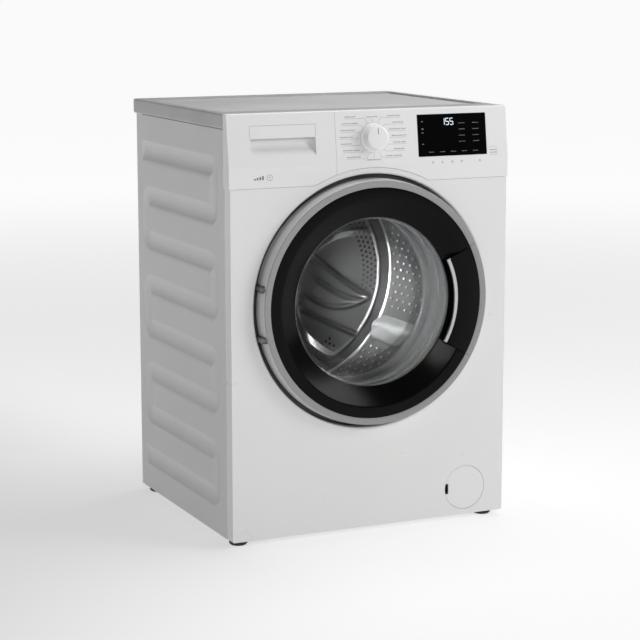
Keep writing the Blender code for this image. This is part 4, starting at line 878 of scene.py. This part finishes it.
def hinge_notch(z, reach_x):
    """Room in the door's edge for one arm of the hinge."""
    return box_mesh("notch", (-0.2600, HINGE_Y - 0.0050, z - HINGE_NOTCH), (reach_x, -0.20, z + HINGE_NOTCH))


def outer_ring():
    """The dark silver ring; the outside of its rim is paler, a painted highlight."""
    profile = [(SILVER_R, BAND_Y), (0.2400, FACE_Y), (0.2425, -0.2543), (0.2425, -0.2400), (0.2395, -0.2400),
               (0.2390, -0.2660), (SILVER_R, -0.2660)]
    profile = rounded(profile, [0.0004, 0.0016, 0.0060, 0.0012, 0.0005, 0.0020, 0.0], 6)
    ring = lathe_mesh("ring", profile, LARGE_STEPS)
    obj = add("fine_door_outer_ring", ring, SILVER, "door", ["door_outer_ring"])
    carve(obj, [handle_sector(), *(hinge_notch(z, -0.2190) for z in HINGE_HEIGHTS)])
    # The rim's outer wall gets the paler lacquer, which is a painted highlight.
    obj.data.materials.append(RIM_HIGHLIGHT)
    for face in obj.data.polygons:
        if math.hypot(face.center.x, face.center.z - AXIS_Z) > 0.2405:
            face.material_index = 1


def bezel():
    """The black band with its soft crease, the cone, and the finger pocket behind the handle."""
    outer = SILVER_R - 0.0003
    profile = [(GLASS_R, -0.2550), (CONE_R, BAND_Y), (outer, BAND_Y), (outer, -0.2480), (GLASS_R, -0.2480)]
    profile = rounded(profile, [0.0012, 0.0120, 0.0004, 0.0, 0.0], 5)
    obj = add("fine_door_bezel", lathe_mesh("bezel", profile, LARGE_STEPS), BLACK, "door", ["door_bezel"])
    low, high = HANDLE_ANGLES
    finger = [(0.1500, -0.2800), (0.2000, -0.2800), (0.2000, -0.2560), (0.1985, -0.2545), (0.1940, -0.2530),
              (0.1500, -0.2530)]
    sector = wedge_mesh("sector", (low + 0.3, high - 0.3), -0.32, -0.20)
    pocket = carved_mesh("pocket", lathe_mesh("pocket", finger, LARGE_STEPS), [sector], "INTERSECT")
    carve(obj, [handle_sector(), pocket])
    soften(obj, 0.0004, 2, 55)


def handle_part(name, profile, material, node, edge):
    """A turned section of which only the handle's sector is kept."""
    obj = add(name, lathe_mesh(name, profile, LARGE_STEPS), material, "handle", [node])
    carve(obj, [wedge_mesh("sector", HANDLE_ANGLES, -0.30, -0.20)], "INTERSECT")
    soften(obj, edge, 2, 55)


def handle():
    """The black plate, its silver rim and the chrome strip along its inner edge."""
    outer = SILVER_R - 0.0003
    plate = [(0.1784, BAND_Y), (outer, BAND_Y), (outer, HANDLE_REAR_Y), (0.1784, HANDLE_REAR_Y)]
    handle_part("fine_door_handle", plate, BLACK, "door_handle", 0.0007)
    rim = [(SILVER_R, BAND_Y), (0.2400, FACE_Y), (0.2406, HANDLE_REAR_Y), (SILVER_R, HANDLE_REAR_Y)]
    handle_part("fine_door_handle_rim", rounded(rim, [0.0003, 0.0016, 0.0005, 0.0], 6), SILVER,
                "door_handle_rim", 0.0004)
    strip = [(0.1706, -0.2744), (0.1776, -0.2756), (0.1781, -0.2700), (0.1694, -0.2706)]
    handle_part("fine_door_handle_strip", rounded(strip, [0.0012, 0.0016, 0.0005, 0.0008], 6), CHROME,
                "door_handle_strip", 0.0005)


def glass_bowl():
    """The bowl as one wall of even thickness, with its flange."""
    front = [(0.0001, -0.1400), (0.0350, -0.1403), (0.0700, -0.1412), (0.1120, -0.1460), (0.1270, -0.1530),
             (0.1350, -0.1650), (0.1520, -0.2350), (0.1590, -0.2450), (0.1660, -0.2477), (0.1780, -0.2477)]
    rear = [(0.1780, -0.2440), (0.1680, -0.2437), (0.1625, -0.2415), (0.1560, -0.2330), (0.1388, -0.1630),
            (0.1297, -0.1500), (0.1130, -0.1422), (0.0700, -0.1372), (0.0350, -0.1363), (0.0001, -0.1360)]
    bend = [0.0, 0.02, 0.03, 0.018, 0.012, 0.018, 0.014, 0.006, 0.006, 0.0006]
    profile = rounded(front + rear, bend + bend[::-1], 6)
    add("fine_door_glass", lathe_mesh("glass", profile, MIDDLE_STEPS, angle=60), GLASS, "door", ["door_glass"])


def glass_seal():
    """The soft grey ring that shows between the black cone and the glass."""
    profile = [(GLASS_R, -0.2484), (0.1650, -0.2520), (0.1668, -0.2546), (0.1673, -0.2500)]
    add("door_glass_trim", lathe_mesh("trim", rounded(profile, 0.0006, 4), MIDDLE_STEPS), TRIM_AND_SHADE, "door")


def inner_frame():
    """The frame behind the bezel with both hinge arms, their bores and the slot for the latch."""
    profile = [(0.1690, -0.2430), (0.1797, -0.2430), (0.1797, -0.2474), (0.2385, -0.2474), (0.2385, -0.2440),
               (0.2300, -0.2390), (0.1960, -0.2370), (0.1690, -0.2395)]
    profile = rounded(profile, [0.0005, 0.0003, 0.0003, 0.0008, 0.0015, 0.004, 0.004, 0.001], 4)
    mesh = lathe_mesh("frame", profile, MIDDLE_STEPS)
    obj = add("fine_door_inner_frame", mesh, GREY, "door", ["door_inner_frame"])
    for z in HINGE_HEIGHTS:
        carve(obj, [hinge_notch(z, -0.2320)])
        arm_low = (HINGE_X - 0.0030, HINGE_Y - 0.0030, z - HINGE_ARM)
        arm_high = (-0.2240, -0.2400, z + HINGE_ARM)
        carve(obj, [box_mesh("arm", arm_low, arm_high)], "UNION")
        bore = ring_mesh("bore", 0.0, 0.0019, -0.02, 0.02, 24, (0, 0))
        bore.transform(Matrix.Translation((HINGE_X, HINGE_Y, z)) @ Matrix.Rotation(math.pi / 2, 4, "X"))
        carve(obj, [bore])
    carve(obj, [box_mesh("slot", (0.2130, -0.2500, AXIS_Z - 0.0080), (0.2260, -0.2200, AXIS_Z + 0.0080))])
    soften(obj, 0.0004, 2, 55)


def gasket():
    """The bellows with rounded lips, from the front panel back towards the tub; it stays fixed in place."""
    outer = [(0.1700, -0.2302), (0.1885, -0.2290), (0.1895, -0.2200), (0.2000, -0.2170), (0.2000, -0.1990),
             (0.1860, -0.1960), (0.1860, -0.1845)]
    inner = [(0.1825, -0.1845), (0.1825, -0.1990), (0.1965, -0.2020), (0.1965, -0.2140), (0.1855, -0.2175),
             (0.1845, -0.2262), (0.1700, -0.2272)]
    bends = [0.0012, 0.003, 0.003, 0.006, 0.006, 0.004, 0.001,
             0.001, 0.003, 0.004, 0.004, 0.003, 0.003, 0.0012]
    mesh = lathe_mesh("gasket", rounded(outer + inner, bends, 5), MIDDLE_STEPS)
    obj = add("fine_door_gasket", mesh, GASKET, None, ["door_gasket"])
    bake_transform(obj)


outer_ring()
bezel()
handle()
glass_bowl()
glass_seal()
inner_frame()
gasket()


# --------------------------------------------------------------------- drum
DRUM_R = 0.240
DRUM_FRONT_Y, DRUM_REAR_Y = -0.150, 0.140
REAR_FACE_Y = DRUM_REAR_Y - 0.0015
LIFTER_ANGLES = (-32.0, 88.0, 208.0)  # each paddle's place round the axis, from +X
WALL_R = DRUM_R - 0.0015  # the inside of the rolled wall
ROW_PITCH, ROW_COUNT = 0.0145, 46  # between the wall's rows of dots or holes, and the places in a row
LIFTER_CLEAR = 9.5  # degrees from a paddle's middle that stay free of them
DISH_RISE, BEAD_RISE, RIB_RISE = 0.0060, 0.0028, 0.0070  # of the pressed rear wall
RIB_HALF = 0.0080
RIB_TIP = (0.180, -0.060)  # (x, z) from the axis, where three of the raised ribs run together
RIB_BENDS = (((0.040, 0.045), (0.110, -0.015), RIB_TIP),
             ((0.040, 0.000), (0.140, -0.080), RIB_TIP),
             ((0.020, -0.030), (0.090, -0.105), RIB_TIP),
             ((0.020, -0.075), (0.085, -0.110), (0.150, -0.140)))  # start, bend and end of each rib's curve


def rib_curve(start, bend, end, steps=8):
    """Points of the smooth curve that leaves start towards bend and arrives at end from it."""
    shares = [k / steps for k in range(steps + 1)]
    return [tuple((1 - t) ** 2 * a + 2 * t * (1 - t) * b + t * t * c for a, b, c in zip(start, bend, end))
            for t in shares]


RIBS = [rib_curve(*bends) for bends in RIB_BENDS]


def bumps_mesh(name, places, radius, height):
    """Round bumps at (centre, inward, along) places: rings of points that rise to a crown."""
    made = bmesh.new()
    for centre, inward, along in places:
        across = inward.cross(along)
        rings = []
        for share, rise in ((1.0, -0.15), (0.72, 0.55), (0.38, 0.9)):
            points = circle_points(centre + inward * (height * rise), along, across, radius * share, 10)
            rings.append([made.verts.new(point) for point in points])
        crown = made.verts.new(centre + inward * height)
        for lower, upper in zip(rings, rings[1:]):
            band_faces(made, lower, upper)
        for a, b in zip(rings[-1], rings[-1][1:] + rings[-1][:1]):
            made.faces.new((a, b, crown))
        made.faces.new(list(reversed(rings[0])))
    return finish_mesh(made, name, 60)


def plugs_mesh(name, places, radius, sides=10):
    """Round holes, drawn as thin plugs set in a surface; their dark colour, given by the caller, is painted
    shade.
    """
    made = bmesh.new()
    for centre, inward, along in places:
        rims = []
        for lift in (-0.0004, 0.00012):
            points = circle_points(centre + inward * lift, along, inward.cross(along), radius, sides)
            rims.append([made.verts.new(point) for point in points])
        made.faces.new(rims[1])
        made.faces.new(list(reversed(rims[0])))
        band_faces(made, *rims)
    return finish_mesh(made, name)


def wall_places(rows, first_y, shift):
    """Staggered places on the inside of the drum's wall, none of them close to a paddle."""
    places = []
    for row in range(rows):
        for k in range(ROW_COUNT):
            angle = 360.0 * (k + 0.5 * (row % 2) + shift) / ROW_COUNT
            if any(abs((angle - lifter + 180) % 360 - 180) < LIFTER_CLEAR for lifter in LIFTER_ANGLES):
                continue
            turn = math.radians(angle)
            inward = Vector((-math.cos(turn), 0.0, -math.sin(turn)))
            centre = Vector((0.0, first_y + row * ROW_PITCH, AXIS_Z)) - inward * WALL_R
            places.append((centre, inward, Vector((0.0, 1.0, 0.0))))
    return places


def drum_shell():
    """The rolled drum: a folded front lip, a beaded wall and a flat rear."""
    front, rear = DRUM_FRONT_Y, DRUM_REAR_Y
    wall = [(WALL_R, REAR_FACE_Y)]
    for y, rise in ((0.120, 0.0008), (0.096, 0.0008), (-0.105, 0.0012)):
        side = WALL_R - rise + 0.0002
        wall += [(WALL_R, y + 0.005), (side, y + 0.0025), (WALL_R - rise, y),
                 (side, y - 0.0025), (WALL_R, y - 0.005)]
    profile = [(0.0001, REAR_FACE_Y), *wall, (WALL_R, front + 0.0125), (0.2275, front + 0.0015),
               (0.1695, front + 0.0015), (0.1665, front + 0.006), (0.165, front + 0.006), (0.168, front),
               (0.228, front), (DRUM_R, front + 0.012), (DRUM_R, rear), (0.0001, rear)]
    lip_radii = [0.010, 0.006, 0.002, 0.0005, 0.0005, 0.002, 0.006, 0.010, 0.003, 0.0]
    radii = [0.0, 0.0050] + [0.0] * (len(wall) - 1) + lip_radii
    mesh = lathe_mesh("drum", rounded(profile, radii, 5), LARGE_STEPS, angle=40)
    add("fine_drum_shell", mesh, STEEL, "drum", ["drum_shell"])


def ease(share):
    """Rises from 0 to 1 with a soft start and end, and stays there outside that range."""
    share = max(0.0, min(1.0, share))
    return share * share * (3 - 2 * share)


def rear_relief(x, z):
    """Height of the pressed wall in front of its flat: a dish with curved ribs, three times round."""
    radius = math.hypot(x, z)
    height = DISH_RISE * (ease((0.214 - radius) / 0.006) + ease((0.066 - radius) / 0.024))
    height += BEAD_RISE * ease(1.0 - abs(radius - 0.2070) / 0.0050)
    for k in range(3):
        turn = math.radians(120.0 * k)
        u, v = x * math.cos(turn) + z * math.sin(turn), z * math.cos(turn) - x * math.sin(turn)
        if u < -0.02 or v > 0.08:
            continue
        for rib in RIBS:
            for start, end in zip(rib, rib[1:]):
                away = away_from(u, v, start, end) / RIB_HALF
                if away < 1.0:
                    height = max(height, DISH_RISE + RIB_RISE * (1 - away * away) ** 2)
    return height


def rear_point(radius, turn):
    """A point on the front of the pressed rear wall."""
    x, z = radius * math.cos(turn), radius * math.sin(turn)
    return Vector((x, REAR_FACE_Y - 0.0004 - rear_relief(x, z), AXIS_Z + z))


def drum_rear():
    """The pressed rear wall with its curved ribs."""
    made = bmesh.new()
    sides = 330
    rings = []
    for radius in [0.0005] + [0.004 + 0.0031 * k for k in range(75)]:
        rings.append([made.verts.new(rear_point(radius, 2 * math.pi * k / sides)) for k in range(sides)])
    for inner, outer in zip(rings, rings[1:]):
        for i in range(sides):
            j = (i + 1) % sides
            made.faces.new((inner[i], outer[i], outer[j], inner[j]))
    made.faces.new(rings[0])
    bmesh.ops.recalc_face_normals(made, faces=made.faces)
    if made.faces[0].normal.y > 0:
        bmesh.ops.reverse_faces(made, faces=made.faces)
    # The rear wall's darker steel is painted shade.
    add("drum_rear_wall", plain_mesh(made, "drum_rear", 180), STEEL_SHADED, "drum")


def drum_details():
    """Embossed dots on the wall, and the holes in the wall and in the rear."""
    # The dots' pale colour is a painted glint.
    add("drum_dots", bumps_mesh("dots", wall_places(17, -0.112, 0.0), 0.0029, 0.0024), DIMPLE_GLINT, "drum")
    # The holes in the wall are near-black plugs: painted shade.
    add("drum_wall_holes", plugs_mesh("holes", wall_places(16, -0.1048, 0.5), 0.0017, 8), HOLE_SHADE, "drum")
    places = []
    for row in range(4):
        for k in range(98):
            angle = 360.0 * (k + 0.5 * (row % 2)) / 98
            if -14.0 <= (angle + 14.0) % 120.0 - 14.0 <= 62.0:
                centre = rear_point(0.1690 + 0.0095 * row, math.radians(angle))
                places.append((centre, Vector((0.0, -1.0, 0.0)), Vector((1.0, 0.0, 0.0))))
    # The holes in the rear are near-black plugs too: painted shade.
    add("drum_rear_holes", plugs_mesh("rear_holes", places, 0.0032), HOLE_SHADE, "drum")


def lifter(label, angle):
    """A smooth paddle: broad at the wall, with a rounded crest that is highest towards the front."""
    made = bmesh.new()
    rows = []
    stations, across = 40, 28
    low_y, high_y = DRUM_FRONT_Y + 0.0162, REAR_FACE_Y - 0.0045
    cos, sin = math.cos(math.radians(angle)), math.sin(math.radians(angle))
    for i in range(stations + 1):
        share = i / stations
        y = low_y + (high_y - low_y) * share
        rise = math.sin(math.pi * min(1.0, share / 0.30) / 2)
        fall = math.sin(math.pi * min(1.0, (1 - share) / 0.08) / 2)
        height = 0.0080 + 0.0400 * rise * fall * (1.0 - 0.75 * max(0.0, share - 0.45) / 0.55)
        half = 0.0290 * (0.80 + 0.20 * rise * fall)
        row = []
        for k in range(across + 1):
            u = -half + 2 * half * k / across
            bulge = 0.5 + 0.5 * math.cos(math.pi * u / half)
            v = -(DRUM_R - 0.0024) + 0.0010 + height * bulge ** 0.6
            v = max(v, -math.sqrt((DRUM_R - 0.0026) ** 2 - u * u))
            row.append(made.verts.new((u * cos - v * sin, y, AXIS_Z + u * sin + v * cos)))
        rows.append(row)
    for one, two in zip(rows, rows[1:]):
        band_faces(made, one, two, closed=False)
    made.faces.new(rows[0])
    made.faces.new(list(reversed(rows[-1])))
    first, last = [row[0] for row in rows], [row[-1] for row in rows]
    for a, b, c, d in zip(first, first[1:], last[1:], last):
        made.faces.new((a, b, c, d))
    node = f"drum_lifter_{label}"
    add(f"fine_{node}", finish_mesh(made, node, 50), PALE, "drum", [node])


drum_shell()
drum_rear()
drum_details()
for label, lifter_angle in zip("123", LIFTER_ANGLES):
    lifter(label, lifter_angle + 90.0)




# ----------------------------------------- springs and hoses inside
SPRING_X, SPRING_Y = 0.240, 0.040
SPRING_LOW_Z, SPRING_HIGH_Z = 0.6000, 0.7980
SPRING_TURNS, SPRING_R = 6, 0.0090
HOSE_R = 0.0140


def tube_mesh(name, points, radius, sides):
    """A round bar along a path, closed at both ends."""
    made = bmesh.new()
    points = [Vector(point) for point in points]
    across = Vector((0.0, 1.0, 0.0))
    rings = []
    for k, point in enumerate(points):
        ahead = (points[min(k + 1, len(points) - 1)] - points[max(k - 1, 0)]).normalized()
        across = (across - ahead * across.dot(ahead)).normalized()
        circle = circle_points(point, across, ahead.cross(across), radius, sides)
        rings.append([made.verts.new(place) for place in circle])
    for one, two in zip(rings, rings[1:]):
        band_faces(made, one, two)
    made.faces.new(list(reversed(rings[0])))
    made.faces.new(rings[-1])
    return finish_mesh(made, name, 50)


def bending(node, path, radius, sides, material):
    """A spring or hose along its path, fixed in place."""
    obj = add(f"fine_{node}", tube_mesh(node, path, radius, sides), material, None, [node])
    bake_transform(obj)


def spring_path(side):
    """The coil from its upper end, which hangs from the cabinet, down to the tub."""
    steps = SPRING_TURNS * 24
    path = []
    for k in range(steps + 1):
        turn = 2 * math.pi * SPRING_TURNS * (1 - k / steps)
        z = SPRING_HIGH_Z + (SPRING_LOW_Z - SPRING_HIGH_Z) * k / steps
        path.append((side * SPRING_X + SPRING_R * math.cos(turn), SPRING_Y + SPRING_R * math.sin(turn), z))
    return path


def sump_path():
    """The middle of the hose, from the pump up to the tub."""
    corners = [(0.211, 0.1215), (0.211, 0.1465), (0.160, 0.1720), (0.122, 0.2000), (0.120, 0.2210)]
    return [(x, -0.155, z) for x, z in rounded(corners, 0.012, 6, closed=False)]


for label, side in (("left", -1), ("right", 1)):
    bending(f"suspension_spring_{label}", spring_path(side), 0.0015, 10, ZINC)
bending("sump_hose", sump_path(), HOSE_R, 28, RUBBER)
filling_path = [(-0.140, -0.020, 0.7195 - 0.0023 * k) for k in range(11)]
bending("filling_hose", filling_path, HOSE_R, 28, RUBBER)
# ------------------------------------------ CAD pieces that keep their shape
CARRIED = {
    FASCIA: ("drawer_tray",),
    ZINC: ("rear_panel", "rear_access_cover", "base_tray", "top_crossbar", "damper_rod_left",
           "damper_rod_right", "main_bearing"),
    ALUMINIUM: ("drive_motor", "drum_spider", "drum_pulley", "motor_pulley"),
    TRIM_AND_SHADE: ("door_hinge_bracket",),
    CHROME: ("door_latch_hook",),
    GREY: ("door_lock", "water_inlet_valve", "drain_outlet_elbow", "drain_pump", "pump_filter",
           "damper_cylinder_left", "damper_cylinder_right"),
    TUB: ("tub_front", "tub_rear", "dispenser_housing"),
    STEEL: ("heating_element",),
    CONCRETE: ("front_counterweight", "top_counterweight"),
    RUBBER: ("drive_belt", "cable_gland"),
    BOARD: ("control_board",),
}
for material, names in CARRIED.items():
    for node in names:
        look(node, material)

for name in ("control_fascia", "drawer_front", "front_panel", "worktop_band", "filter_flap", "display_window"):
    even_normals(bpy.data.objects[f"fine_{name}"])


# ------------------------------------------------------- light, floor, camera
def area_light(name, place, target, size, power):
    data = bpy.data.lights.new(name, "AREA")
    data.energy = power
    data.size = size
    light = new_object(name, data)
    light.location = place
    light.rotation_euler = (Vector(target) - Vector(place)).to_track_quat("-Z", "Y").to_euler()
    return light


def floor_glow(tree, shader):
    """The floor's own glow: brighter far away and softly dimmer on the left."""
    place = tree.nodes.new("ShaderNodeTexCoord").outputs["Object"]
    reach = []
    spots = (((0, 0, 0), 1.0, 6.5, 0.60, 0.93), ((-1.9, 0.3, 0), 0.4, 2.1, 0.35, 1.0))
    for centre, near, far, low, high in spots:
        away = tree.nodes.new("ShaderNodeVectorMath")
        away.operation = "DISTANCE"
        away.inputs[1].default_value = centre
        tree.links.new(place, away.inputs[0])
        ramp = tree.nodes.new("ShaderNodeMapRange")
        ramp.interpolation_type = "SMOOTHSTEP"
        for name, value in zip(("From Min", "From Max", "To Min", "To Max"), (near, far, low, high)):
            ramp.inputs[name].default_value = value
        tree.links.new(away.outputs["Value"], ramp.inputs["Value"])
        reach.append(ramp.outputs["Result"])
    both = tree.nodes.new("ShaderNodeMath")
    both.operation = "MULTIPLY"
    tree.links.new(reach[0], both.inputs[0])
    tree.links.new(reach[1], both.inputs[1])
    tree.links.new(both.outputs[0], shader.inputs["Emission Strength"])


def studio():
    """A wide pale floor, even surroundings and five soft lights."""
    world = bpy.data.worlds.new("studio")
    world.use_nodes = True
    surroundings = world.node_tree.nodes["Background"].inputs
    surroundings["Color"].default_value = (0.97, 0.985, 1.0, 1.0)
    surroundings["Strength"].default_value = 0.05
    bpy.context.scene.world = world
    area_light("key", (3.4, -2.9, 2.3), (0.0, -0.2, 0.45), 2.0, 84.0)
    area_light("fill", (-1.5, -4.2, 2.2), (0.0, -0.25, 0.45), 1.2, 38.0)
    area_light("top", (0.55, 0.1, 3.1), (0.1, 0.0, 0.84), 1.6, 52.0)
    area_light("side", (-1.20, 0.58, 0.52), (-0.298, 0.20, 0.50), 0.4, 1.3)
    area_light("drum", (-1.15, -2.6, 0.80), (0.0, -0.25, AXIS_Z), 0.12, 0.55).data.spread = math.radians(5)
    floor = bpy.data.materials.new("studio_floor")
    floor.use_nodes = True
    shader = floor.node_tree.nodes["Principled BSDF"]
    shader.inputs["Base Color"].default_value = (0.45, 0.45, 0.45, 1.0)
    shader.inputs["Roughness"].default_value = 0.8
    shader.inputs["Specular IOR Level"].default_value = 0.1
    shader.inputs["Emission Color"].default_value = (1.0, 1.0, 1.0, 1.0)
    floor_glow(floor.node_tree, shader)
    half = 120.0
    corners = [(x * half, y * half, 0.0) for x, y in ((-1, -1), (1, -1), (1, 1), (-1, 1))]
    mesh = bpy.data.meshes.new("floor")
    mesh.from_pydata(corners, [], [(0, 1, 2, 3)])
    mesh.materials.append(floor)
    obj = new_object("floor", mesh)


def camera():
    data = bpy.data.cameras.new("camera")
    data.lens = 112.03
    data.sensor_width = 36.0
    data.clip_end = 500.0
    data.dof.use_dof = False
    obj = new_object("camera", data)
    azimuth, elevation, roll = (math.radians(a) for a in (-24.89, 10.04, -0.047))
    turn = Matrix.Rotation(azimuth, 4, "Z") @ Matrix.Rotation(math.pi / 2 - elevation, 4, "X")
    obj.matrix_world = Matrix.Translation((-1.7089, -3.6906, 1.1099)) @ turn @ Matrix.Rotation(roll, 4, "Z")
    bpy.context.scene.camera = obj


studio()
camera()
bpy.context.scene.view_settings.view_transform = "Standard"
